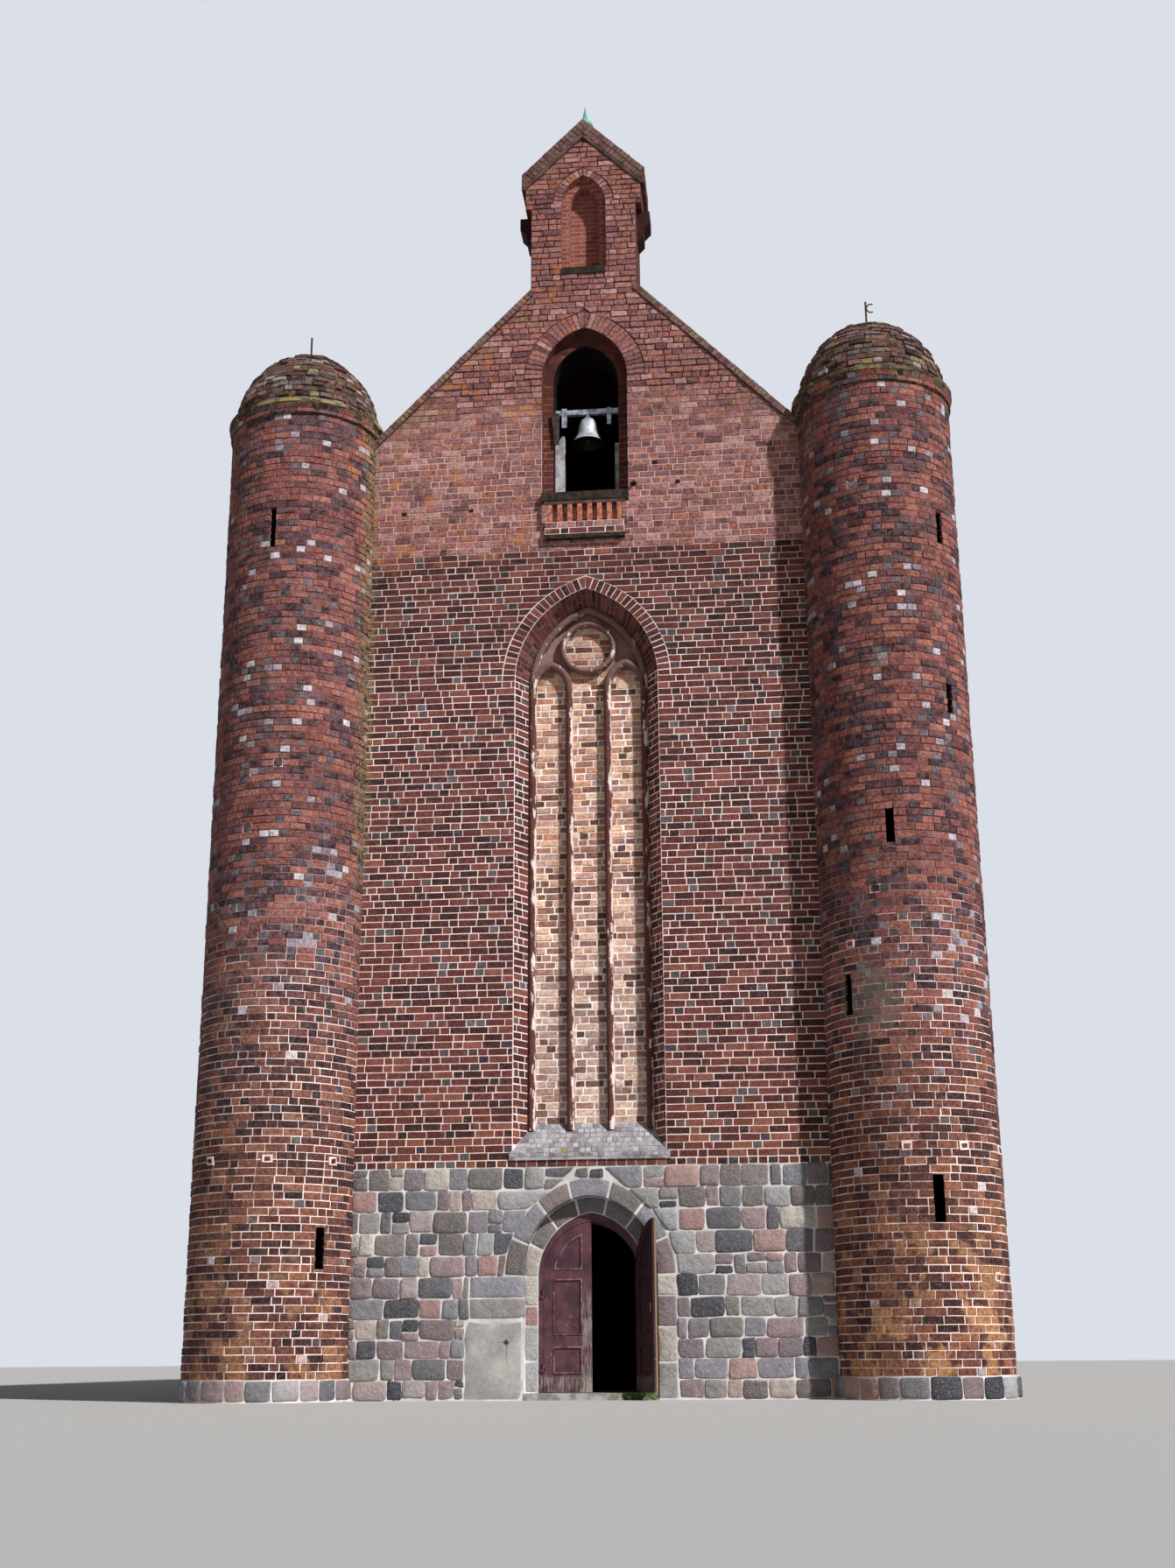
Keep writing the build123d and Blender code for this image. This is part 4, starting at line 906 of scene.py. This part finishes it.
for name, beds, edge in (
        ("panel_bricks", np.linspace(SILL_BACK, 10.96, 68), partial(half_width, head)),
        ("ring_field_bricks", np.linspace(RING_MIDDLE - 0.38, RING_MIDDLE + 0.38, 8), ring_edge)):
    build(name, ochre_brick, facing_front(PANEL), beds, mirrored(edge), joint=0.021, proud=(0.003, 0.014),
          rough=0.006, slot="limewashed_brick")
splay_length = math.hypot(SPLAY_IN, SPLAY)
window_radius, window_centre = arc_of(*WINDOW_ARCH)
window_turn = math.acos(-window_centre / window_radius)
arch_length = window_radius * window_turn


def splay(side, u, v, out):
    """The slanting side of the recess: u goes in from the arris, v up the jamb and on along the arch."""
    k = u / splay_length
    radius = window_radius - SPLAY_IN * k
    angle = np.clip((v - WINDOW_SPRING) / arch_length, 0, 1) * np.arccos(-window_centre / radius)
    radius = radius - out * SPLAY / splay_length
    x, z = window_centre + radius * np.cos(angle), np.minimum(v, WINDOW_SPRING) + radius * np.sin(angle)
    return np.stack([side * x, FACE + SPLAY * k - out * SPLAY_IN / splay_length, z], -1)


def splay_reach(v):
    """How far in the bricks of the splay go: all the way above the sill, and less where it slopes."""
    if v > SILL_BACK - 0.12:
        return splay_length - 0.004
    sloped = (v - SILL_FRONT) / (SILL_BACK - SILL_FRONT) * SILL_DEPTH - SILL_OUT
    return max(0.0, sloped / SPLAY * splay_length)


beds = np.linspace(GRANITE_TOP, WINDOW_SPRING, 69)[2:]
beds = np.append(beds, np.linspace(WINDOW_SPRING, WINDOW_SPRING + arch_length, 23)[1:])
for side, word in SIDES:
    build(f"splay_bricks_{word}", front_brick, partial(splay, side), beds, lines(0.0) + [splay_reach],
          joint=0.016, turned_over=side > 0)

roll_brick, shader, place = new_finish("moulded_rolls")
z = axes_of(place)[2]
colour = mixed(rising(z, 10.4, 11.0), rgb(98, 60, 54), rgb(122, 92, 87))
turned = Wire(shader.id_data.nodes["Texture Coordinate"].outputs["Normal"])
tall = place.node("VectorMath", {"operation": "MULTIPLY"}, {0: place, 1: (1.0, 1.0, 0.3)})
# More pale scraps on the sides of the rolls that face right, toward the sun: partly plaster, partly a painted
# highlight.
plaster_and_highlight = mottle(tall, 0.1, 5.0, 0.7) + axes_of(turned)[0] * 0.11 - rising(z, 10.6, 11.0) * 0.05
colour = clouded(place, colour, 0.1, 0.5, 1.5, 4.0)
colour = mixed(rising(plaster_and_highlight, 0.57, 0.62), colour, rgb(232, 214, 204))
cover(shader, colour, 0.92, mottle(place, 0.06, 4.0), 0.02)
dress(roll_brick, "blind_window_tracery")


def arc_path(arch, middle=0.0, side=1, foot=None):
    """A roll's way up one side of a pointed arch, from foot where that is given."""
    radius, centre = arc_of(*arch)
    way = [(middle + side * (centre + radius * math.cos(a)), arch[1] + radius * math.sin(a))
           for a in np.linspace(0, math.acos(-centre / radius), 17)]
    return way if foot is None else [(way[0][0], foot)] + way


rolls_foot = SILL_FRONT + 0.33 / SILL_DEPTH * (SILL_BACK - SILL_FRONT)
hood = (LIGHT_HALF + ROLL, LIGHT_SPRING, LIGHT_TOP + ROLL)
rolls = []
for side in (-1, 1):
    rolls.append(arc_path(grown(head, -ROLL), 0.0, side, rolls_foot))
    rolls.append(arc_path(hood, side * LIGHT_X, -side, rolls_foot))
    rolls.append(arc_path(hood, side * LIGHT_X, side))
circle = [(RING_RADIUS * math.cos(a), RING_MIDDLE + RING_RADIUS * math.sin(a))
          for a in np.linspace(0, 2 * math.pi, 49)]
set_rods("window_rolls", rolls, ROLL, facing_front(SPLAY), roll_brick)
set_rods("window_ring_roll", [circle], RING_BAR, facing_front(SPLAY), roll_brick)

dress(patchy("sill_joints", (176, 168, 170), (120, 112, 112), 0.2), "blind_window_sill")
GREY = ((118, 114, 118), (154, 151, 156), (184, 180, 184), (142, 136, 140))
GREY_ENDS = ((150, 140, 60), (150, 145, 150), (160, 152, 156))
sill_brick = burnt_brick("sill_brick", GREY, GREY, 0.0, GREY_ENDS, 0.9)
sill_run = math.hypot(SILL_DEPTH, SILL_BACK - SILL_FRONT)
up = np.array((0, SILL_DEPTH, SILL_BACK - SILL_FRONT)) / sill_run
sill_face = flat_face((0, FACE - SILL_OUT, SILL_FRONT), (1, 0, 0), up, (0, -up[2], up[1]))


def sill_edge(v):
    inner = max(WINDOW_HALF - SPLAY_IN, WINDOW_HALF - (v * up[1] - SILL_OUT) * SPLAY_IN / SPLAY)
    return SILL_HALF if v < 0.05 else inner


def edge_bond(row):
    return 0.088 + dice.uniform(-0.006, 0.006, 1000), (dice.uniform(0, 1, 1000) < 0.3) * 1.0


build("sill_bricks", sill_brick, sill_face, np.linspace(0.0, sill_run, 7), mirrored(sill_edge), edge_bond,
      0.010)
build("sill_nose", sill_brick, facing_front(-SILL_OUT), [SILL_FRONT - 0.06, SILL_FRONT],
      lines(-SILL_HALF, SILL_HALF), edge_bond, 0.008)

# Gable: paler, weathered bricks that stand unevenly from their worn joints, round the bell
# opening; bricks on end arch over it, and bricks on edge cope the slopes.
BELL_ARCH, BELL_SILL = (0.70, 16.0, 16.90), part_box("bell_sill")[1].z
COPING_FOOT, COPING_THICK, WEATHERED_FROM = GABLE_TOP - 0.16, 0.111, 15.7
HOLES_AT = ((1.14, 14.37), (1.50, 14.01), (-2.95, 13.66), (-1.85, 13.66))
COPING = ((84, 54, 52), (112, 76, 71), (134, 94, 90), (106, 84, 70))
COPING_ENDS = ((112, 106, 66), (90, 84, 60), (122, 92, 84))
coping_under = mirrored(lambda z: min(SEAM, COTE_HALF + max(COPING_FOOT - z, 0) / SLOPE))
bell_hole = arch_hole(BELL_ARCH, 0.3, BELL_SILL - 0.15)
beds = np.linspace(BAND_TOP, COPING_FOOT, 43)
corners, kinds = lay_courses(beds, coping_under, wild_bond, 0.013, [(0, bell_hole)])
high = corners[:, 0, 1] > WEATHERED_FROM
ring = ring_bricks(BELL_ARCH, 0.004, 0.29, 0.072, 0.010)
set_bricks("gable_bricks", gable_brick, front, corners[~high], kinds[~high], (0.003, 0.012))
set_bricks("gable_upper_bricks", gable_brick, front, corners[high], kinds[high], (0.006, 0.028), rough=0.006)
set_bricks("bell_ring", gable_brick, front, ring, proud=(0.005, 0.018))
# Near black: the iron hook's own colour, and painted shade for the putlog holes, which are black patches laid on
# the wall.
dark_iron_and_hole_shade = patchy("dark_iron_and_hole_shade", (26, 20, 20), (40, 30, 28), 0.1)
corners = [cut(x - 0.04, x + 0.04, z - 0.03, z + 0.03) for x, z in HOLES_AT]
set_bricks("putlog_holes", dark_iron_and_hole_shade, front, corners, proud=(0.0125, 0.013))
coping_brick = burnt_brick("coping_brick", COPING, COPING, 0.0, COPING_ENDS, 0.7, 0.01)
coping_joint = patchy("coping_joints", (110, 80, 72), (70, 52, 46), 0.2)
dress(coping_joint, "gable_copings", "bellcote_coping", "rear_coping")


def cope(name, near, far, top, steep, thick, depth, rows):
    """Bricks on edge along both slopes of a gable, from x near to far: ends to the front, backs on top."""
    lean = math.atan(steep)
    for side, word in SIDES:
        along, up = (math.cos(lean), 0, -side * math.sin(lean)), (side * math.sin(lean), 0, math.cos(lean))
        for part, y, upward, out, beds in (
                ("ends", depth[0], up, (0, -1, 0), np.linspace(-thick, 0, rows + 1)),
                ("backs", 0, (0, 1, 0), up, np.linspace(*depth, 5))):
            face = flat_face((side * near, y, top), along, upward, out)
            edges = lines(0.0, side * (far - near) / math.cos(lean))
            build(f"{name}_{word}_{part}", coping_brick, face, beds, edges, edge_bond, 0.010,
                  proud=(0.0, 0.012))


coping_depth = (FACE - 0.04, FACE + 0.94)
cope("coping", COTE_HALF, SEAM, GABLE_TOP, SLOPE, COPING_THICK, coping_depth, 1)

# Bell opening: a parapet of little brick balusters on a ledge, and a sill, both near black with moss and
# painted shade; in the dark the bell on its pin, the beam with two hanging plates, two posts and an old board.
LEDGE_TOP, LEDGE_OUT, THICK, TOUCHING, BELL_BEHIND = 13.24, 0.11, 0.11, -0.002, 0.6
PARAPET_FOOT, PARAPET_HEAD = LEDGE_TOP + THICK, 13.66
post_foot, post_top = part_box("bell_posts")


def set_blocks(name, blocks, finish):
    """Straight pieces: x, y behind the front and z, each from and to, and for a tapered one its x at the
    top."""
    points = []
    for x0, x1, y0, y1, z0, z1, *top in blocks:
        points += [(x, y, z0) for x, y in cut(x0, x1, y0, y1)]
        points += [(x, y, z1) for x, y in cut(*(top or (x0, x1)), y0, y1)]
    sides = np.array([[0, 1, 5, 4], [1, 2, 6, 5], [2, 3, 7, 6], [3, 0, 4, 7], [4, 5, 6, 7], [3, 2, 1, 0]])
    quads = sides + 8 * np.arange(len(blocks))[:, None, None]
    add_piece(name, np.array(points) + (0, FACE, 0), quads, finish)


# Near black for the sills and the course under the bell sill: partly moss, partly painted shade.
moss_and_painted_shade = patchy("moss_and_shade_brick", (40, 32, 31), (64, 55, 46), 0.12, depth=0.01)
dress(moss_and_painted_shade, "bell_sill", "bellcote_sill")
dress(patchy("orange_brick", (200, 132, 102), (154, 88, 68), 0.05), "bell_balustrade")
ledge_front = facing_front(-LEDGE_OUT)
ledge, foot = (LEDGE_TOP - THICK, LEDGE_TOP), (LEDGE_TOP, PARAPET_FOOT)
piers = [(a, b, -0.09, TOUCHING, PARAPET_FOOT, PARAPET_HEAD) for a, b in ((-0.69, -0.61), (0.61, 0.69))]
set_blocks("ledge_bed", [(-0.64, 0.64, -0.113, -0.1, *ledge)], white_lime)
build("ledge_bricks", front_brick, ledge_front, ledge, lines(-0.64, 0.64), joint=0.018, proud=(0.006, 0.01))
build("sill_course", moss_and_painted_shade, ledge_front, [BELL_SILL - 0.15, BELL_SILL - 0.065], lines(-0.70, 0.70),
      joint=0.012)
set_blocks("parapet_foot", [(-0.63, 0.63, -0.096, TOUCHING, *foot)], white_lime)
build("parapet_foot_bricks", gable_brick, facing_front(-0.10), foot, lines(-0.63, 0.63))
set_blocks("parapet_head", [(-0.66, 0.66, -0.10, TOUCHING, PARAPET_HEAD, 13.716)], coping_brick)
set_blocks("parapet_piers", piers, patchy("pier_joints", (204, 180, 170), (146, 120, 112), 0.05))
for i, (left, right, *_) in enumerate(piers):
    build(f"parapet_pier_bricks_{i}", gable_brick, facing_front(-0.09),
          np.linspace(PARAPET_FOOT, PARAPET_HEAD, 5), lines(left, right))
hook = [(0.74, 0.84, -0.02, TOUCHING, 13.97, 14.03), (0.78, 0.81, -0.10, -0.02, 13.99, 14.02)]
set_blocks("iron_hook", hook, dark_iron_and_hole_shade)

steel = patchy("galvanised_steel", (176, 180, 190), (118, 122, 132), 0.08, 0.45, 0.001, 0.4)
timber = patchy("grey_timber", (196, 190, 192), (142, 136, 138), 0.2, 0.85)
iron = patchy("rusty_iron", (50, 40, 37), (86, 56, 42), 0.05, 0.85)
dress(iron, "bell_clapper", "turret_left_spike", "turret_right_vane")
dress(patchy("verdigris", (134, 200, 182), (92, 152, 138), 0.1, 0.6, 0.001), "finial")
dress(steel, "bell_beam")
dress(timber, "bell_posts")
bell_metal, shader, place = new_finish("bell_metal")
x, y, _ = axes_of(place)
nx, ny, nz = axes_of(Wire(shader.id_data.nodes["Texture Coordinate"].outputs["Normal"]))
# The inside of the bell is painted nearly black: painted shade.
inside = (x * nx + (y - (FACE + BELL_BEHIND)) * ny < 0.0) + (nz < -0.35) > 0.5
colour = shaded(blotched(place, 0.08, (196, 200, 208), (158, 162, 172)), 1.0 - inside * 0.985)
feed(shader, {"Base Color": colour, "Metallic": 0.35, "Roughness": 0.4 + mottle(place, 0.05) * 0.2})
nodes["bell"].data.materials.clear()
nodes["bell"].data.materials.append(bell_metal)
plates = [(-0.435, -0.35, 0.545, 0.56, 15.37, 15.72), (0.32, 0.39, 0.545, 0.56, 15.40, 15.71)]
set_blocks("hanging_plates", plates, steel)
left, top = post_foot.x, post_top.z
splinter = (left, left + 0.15, 0.53, 0.66, top - 0.01, top + 0.17, left + 0.11, left + 0.15)
set_blocks("post_splinter", [splinter], timber)
old_board = patchy("old_board", (48, 42, 40), (74, 68, 62), 0.12, 0.9)
set_blocks("old_board", [(-0.51, -0.44, 0.14, 0.17, 14.86, 15.42, -0.56, -0.43)], old_board)

# Bell-cote: the same weathered bricks round a pointed niche, with a wider head on stepped corbels
# and a small coped gable grown over with lichen, under a copper finial.
COTE_HEAD, COTE_HEAD_HALF, KNEELER_FOOT, COTE_APEX, KNEELER_HALF = 19.24, 0.985, 19.62, 20.97, 1.05
NICHE, NICHE_FOOT = (0.37, 19.30, 19.85), 18.05
cote_steep = (COTE_APEX - KNEELER_FOOT - 0.29) / KNEELER_HALF
under_cote = KNEELER_FOOT + cote_steep * COTE_HEAD_HALF


def cote_edge(z):
    if z < KNEELER_FOOT:
        return COTE_HALF if z < COTE_HEAD else COTE_HEAD_HALF
    return max((under_cote - z) / cote_steep, 0.0)


beds = [np.linspace(COPING_FOOT, COTE_HEAD, 17), np.linspace(COTE_HEAD, KNEELER_FOOT, 5)[1:],
        np.linspace(KNEELER_FOOT, under_cote - 0.1, 10)[1:]]
build("cote_bricks", gable_brick, front, np.concatenate(beds), mirrored(cote_edge), joint=0.016,
      holes=[(0, arch_hole(NICHE, 0.15, NICHE_FOOT))], proud=(0.006, 0.024), rough=0.005)
ring = ring_bricks(NICHE, 0.004, 0.14, 0.075, 0.012)
set_bricks("niche_ring", gable_brick, front, ring, proud=(0.005, 0.014))
cope("cote_coping", 0.0, KNEELER_HALF, COTE_APEX, cote_steep, 0.2, coping_depth, 2)

# Round stair turrets: redder bricks with many glazed ends, white-jointed and warmer low down, on a
# plinth of granite blocks. Above are a moulded cornice and a rough dome grown over with lichen.
SHAFT_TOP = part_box("turret_right_front")[1].z
PLINTH_TOP, PLINTH_STEP, PLAIN_ROWS = 0.30, 0.04, 54
CORNICE_BEDS, MOSSY_BED = np.array([0, 0.08, 0.165]), np.array([0.172, 0.24])
DOME_FOOT, DOME_BASE, DOME_HEIGHT, DOME_CROWN = SHAFT_TOP + 0.23, 1.16, 1.36, 0.90
SLITS = (
    (-1, -8.4, 12.70, 13.39, 0.08), (-1, 47.8, 1.77, 2.35, 0.13), (1, 45.3, 12.36, 12.91, 0.11),
    (1, 44.1, 9.63, 10.14, 0.11), (1, -8.0, 7.61, 8.15, 0.11), (1, -45.5, 5.18, 5.78, 0.11),
    (1, 76.0, 4.49, 5.25, 0.11), (1, 10.2, 2.28, 2.92, 0.13),
)
PUTLOGS = (
    (-1, -35.3, 3.28), (-1, 9.0, 3.28), (-1, 56.2, 3.28), (1, -8.4, 3.31), (1, 29.7, 3.31), (1, 70.7, 3.31),
    (1, 52.8, 1.58), (1, -41.6, 6.20),
)
DRUM_RED = ((48, 29, 31), (82, 44, 42), (122, 66, 56), (136, 74, 60), (160, 98, 78), (92, 60, 62))
SOOTED = ((46, 28, 27), (68, 38, 32), (92, 52, 42), (116, 68, 52), (144, 96, 74))
PALE_ENDS = GLAZED + ((164, 156, 164), (216, 208, 212))
DOME = ((34, 22, 20), (84, 52, 46), (110, 74, 66), (74, 60, 44), (130, 96, 86), (98, 54, 46))
DOME_ENDS = ((132, 118, 120), (88, 74, 72), (160, 148, 144), (128, 116, 62))
drum_bricks = {
    "left": burnt_brick("left_turret_brick", SOOTED, DRUM_RED, 5.6, PALE_ENDS, 0.35, 0.014, 0.26, 0.9, 0.5),
    "right": burnt_brick("right_turret_brick", WARM, DRUM_RED, 4.6, PALE_ENDS, 0.35, 0.014, 0.22, 0.9, 0.5),
}
dome_brick = burnt_brick("dome_brick", DOME, DOME, 0.0, DOME_ENDS, 0.7, 0.02, 0.1, 0.9)
ledge_moss = patchy("ledge_moss", (152, 140, 92), (84, 70, 54), 0.35, 0.95, 0.01)
cap_finish, shader, place = new_finish("mossy_cap")
colour = mixed(rising(mottle(place, 0.15, 4.0), 0.42, 0.55), rgb(50, 40, 36), rgb(92, 82, 60))
colour = mixed(rising(mottle(place, 0.09, 4.0), 0.58, 0.64), colour, rgb(158, 142, 62))
cover(shader, colour, 0.95, mottle(place, 0.04, 4.0), 0.02)
dress(cap_finish, "turret_left_cap", "turret_right_cap")


def around(side, radius, angle, z):
    """Places round the axis of a turret, from straight in front."""
    return np.stack([side * TURRET_X + radius * np.sin(angle), TURRET_Y - radius * np.cos(angle), z], -1)


def drum(side, radius_at, u, z, out):
    """The round face of a turret: u is the way round at its radius."""
    return around(side, radius_at(z) + out, u / TURRET_RADIUS, z)


over, shoulder = DOME_HEIGHT - DOME_CROWN, DOME_BASE - DOME_CROWN
behind = (over**2 - shoulder**2) / (2 * shoulder)
long_radius = DOME_BASE + behind
dome_turn = math.atan2(over, behind)
dome_line = long_radius * dome_turn
dome_end = dome_line + DOME_CROWN * (math.pi / 2 - dome_turn)


def dome(side, u, v, out):
    """The dome's face: u is an angle round it and v the way up from its foot."""
    low = v < dome_line
    angle = np.where(low, v / long_radius, dome_turn + (v - dome_line) / DOME_CROWN)
    radius = np.where(low, long_radius, DOME_CROWN) + out
    z = DOME_FOOT + np.where(low, 0, over) + radius * np.sin(angle)
    return around(side, radius * np.cos(angle) - np.where(low, behind, 0), u, z)


def drum_bond(row):
    return monk_bond(row) if row < PLAIN_ROWS else wild_bond(row)


def block_bond(row):
    return dice.uniform(0.28, 0.42, 300), np.zeros(300)


def moulding(z):
    """The outline of the cornice: its roll, a fillet behind it and the ledge above."""
    return TURRET_RADIUS + np.interp(z - SHAFT_TOP, (0, 0.079, 0.081, 0.16), (0.046, 0.046, 0.028, 0.07))


def dome_courses(side):
    """The corners of the dome's bricks, which get fewer and longer toward its crown."""
    corners, beds = [], np.linspace(0, dome_end - 0.09, 19)
    for row, (low, high) in enumerate(zip(beds[:-1] + 0.007, beds[1:] - 0.007)):
        radius = abs(float(dome(side, 0.0, (low + high) / 2, 0.0)[1]) - TURRET_Y)
        count = max(int(2 * math.pi * radius / 0.17), 6)
        marks = np.linspace(0, 2 * math.pi, count + 1) + row * 0.4
        marks[1:-1] += dice.uniform(-0.25, 0.25, count - 1) * (2 * math.pi / count)
        gap = 0.007 / radius
        corners += [cut(a, b, low, high) for a, b in zip(marks[:-1] + gap, marks[1:] - gap)]
    return corners


def way_round(bearing):
    return math.radians(bearing) * TURRET_RADIUS


meet = math.acos((TURRET_Y - FACE) / TURRET_RADIUS) * TURRET_RADIUS
half_turn = math.pi * TURRET_RADIUS
rows = np.linspace(PLINTH_TOP, SHAFT_TOP, 135)
middles = (rows[1:] + rows[:-1]) / 2
square = np.array([(-1, -1), (1, -1), (1, 1), (-1, 1)])
for side, word in SIDES:
    shaft, moulded = partial(drum, side, lambda z: TURRET_RADIUS), partial(drum, side, moulding)
    seen_side, all_round = lines(side * half_turn, -side * meet), lines(-half_turn, half_turn)
    back_side = lines(side * half_turn, side * (2 * half_turn - meet))
    turret_brick = drum_bricks[word]
    slits, ends = [], []
    for on, bearing, foot, top, width in SLITS:
        if on != side:
            continue
        u, half = way_round(bearing), width / 2
        slits.append((u, band_hole(half, foot, top)))
        cut_rows = np.flatnonzero((middles > foot) & (middles < top))
        spans = (rows[cut_rows[0]] + 0.006, foot - 0.003), (top + 0.003, rows[cut_rows[-1] + 1] - 0.006)
        ends += [cut(u - half, u + half, low, high) for low, high in spans if high > low + 0.01]
    build(f"turret_{word}_bricks", turret_brick, shaft, rows, seen_side, drum_bond, 0.0125, sorted(slits),
          0.02, proud=(0.003, 0.018), steps=2)
    set_bricks(f"turret_{word}_slit_ends", turret_brick, shaft, ends, proud=(0.003, 0.012))
    stopped = np.array([(way_round(bearing), z) for on, bearing, z in PUTLOGS if on == side])[:, None]
    for part, finish, half, out in (
            ("rims", white_lime, (0.072, 0.062), 0.022), ("stops", turret_brick, (0.045, 0.036), 0.03)):
        set_bricks(f"turret_{word}_putlog_{part}", finish, shaft, stopped + square * half,
                   proud=(out, out + 0.002), rough=0.008)
    build(f"turret_{word}_back_bricks", turret_brick, shaft, np.linspace(13.3, SHAFT_TOP, 17), back_side,
          proud=(0.003, 0.014), steps=2)
    blocks = lay_courses([0.012, PLINTH_TOP], seen_side, block_bond, 0.012)[0]
    plinth = partial(drum, side, lambda z: TURRET_RADIUS + PLINTH_STEP)
    set_stones(f"turret_{word}_plinth_stones", blocks, plinth)
    build(f"turret_{word}_cornice_bricks", turret_brick, moulded, SHAFT_TOP + CORNICE_BEDS, all_round,
          joint=0.010, proud=(0.0, 0.012), steps=2)
    build(f"turret_{word}_mossy_ledge", ledge_moss, moulded, SHAFT_TOP + MOSSY_BED, all_round, block_bond,
          0.004, proud=(0.0, 0.02), steps=2, rough=0.008)
    set_bricks(f"turret_{word}_dome_bricks", dome_brick, partial(dome, side), dome_courses(side), 1.0,
               (0.0, 0.04), 2, 0.3, 0.002)

# Nave: plain side walls, buttresses and rear wall in the same bond; none of them is in the photo,
# so they repeat the front's bricks. Buttresses and eaves show courses, and the panes are leaded.
EAVES, REAR_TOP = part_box("roof_right")[0].z + 0.11 * SLOPE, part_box("rear_wall")[1].z
NAVE_ARCH, NAVE_WINDOW_FOOT, REAR_ARCH = (0.76, 10.2, 11.3), 4.7, (0.91, 10.2, 11.45)
BAY, FIRST_BAY, LAST_BAY = 4.7, 1.36, 20.16
nave_hole = arch_hole(NAVE_ARCH, 0.2, NAVE_WINDOW_FOOT)
for side, word in SIDES:
    face = flat_face((side * NAVE_HALF, FACE, 0), (0, side, 0), (0, 0, 1), (side, 0, 0))
    middles = sorted(side * (FIRST_BAY + BAY * (i + 0.5)) for i in range(4))
    build(f"nave_{word}_bricks", front_brick, face, np.linspace(0, EAVES - 0.308, 115),
          lines(side * FIRST_BAY, side * LAST_BAY), holes=[(middle, nave_hole) for middle in middles])
    rings = np.concatenate([np.array(ring_bricks(NAVE_ARCH)) + (middle, 0) for middle in middles])
    set_bricks(f"nave_{word}_window_rings", front_brick, face, rings)
rear_edges = mirrored(lambda z: min(NAVE_HALF, max(REAR_TOP - z, 0) / SLOPE))
rear_face = flat_face((0, REAR, 0), (-1, 0, 0), (0, 0, 1), (0, 1, 0))
build("rear_bricks", front_brick, rear_face, np.linspace(0, REAR_TOP - 0.1, 165), rear_edges,
      holes=[(0, arch_hole(REAR_ARCH, 0.2, NAVE_WINDOW_FOOT - 0.15))])
set_bricks("rear_ring", front_brick, rear_face, ring_bricks(REAR_ARCH))
cope("rear_coping", 0.0, NAVE_HALF, REAR_TOP + 0.16, SLOPE, COPING_THICK, (REAR - 0.94, REAR), 1)
glass, shader, place = new_finish("window_glass")
_, y, z = axes_of(place)
pane = blotched(place, 0.4, (58, 72, 76), (92, 106, 106))
panes = course_print(place, y, z, (0.12, 0.16), 0.006, pane, pane, rgb(40, 40, 42))
feed(shader, {"Base Color": panes, "Roughness": 0.12, "Alpha": 0.9})
dress(glass, "nave_glass")

# Roof: plain clay tiles hung in overlapping courses, half-round ridge tiles, and inside a floor of
# worn square bricks.
TILE, EAVE_OUT, ROOF_NEAR, ROOF_FAR = 0.17, 0.25, 0.95, 20.11
ridge_z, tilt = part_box("roof_right")[1].z, math.atan(SLOPE)
tile, shader, place = new_finish("clay_tile")
colour = ramp(grain_of(shader)[0], (104, 54, 42), (132, 70, 52), (148, 82, 62), (116, 70, 58))
cover(shader, clouded(place, colour, 0.1, 0.65, 1.25), 0.85, mottle(place, 0.02), 0.004)


def tile_bond(row):
    run = np.full(400, TILE)
    run[0] += TILE / 2 * (row % 2)
    return run, np.zeros(400)


for side, word in SIDES:
    up = (-side * math.cos(tilt), 0, math.sin(tilt))
    face = flat_face((0, 0, ridge_z), (0, side, 0), up, (side * math.sin(tilt), 0, math.cos(tilt)))
    beds = np.linspace(-(NAVE_HALF + EAVE_OUT) / math.cos(tilt), -0.1, 46)
    ends = lines(side * (FACE + ROOF_NEAR), side * (FACE + ROOF_FAR))
    build(f"roof_{word}_tiles", tile, face, beds, ends, tile_bond, 0.004, proud=(0.016, 0.022), lean=0.85,
          slot="roof_tile", rough=0.001)
dress(patchy("tile_underside", (126, 70, 52), (104, 60, 48), 0.2), "roof_")
floor_brick, shader, place = new_finish("floor_brick")
x, y, _ = axes_of(place)
squares = rgb(120, 78, 62), rgb(146, 98, 78), rgb(96, 84, 74)
squares = course_print(place, x, y, (0.25, 0.25), 0.006, *squares)
feed(shader, {"Base Color": clouded(place, squares, 0.1, 0.7, 1.3), "Roughness": 0.85})
dress(floor_brick, "nave_floor")
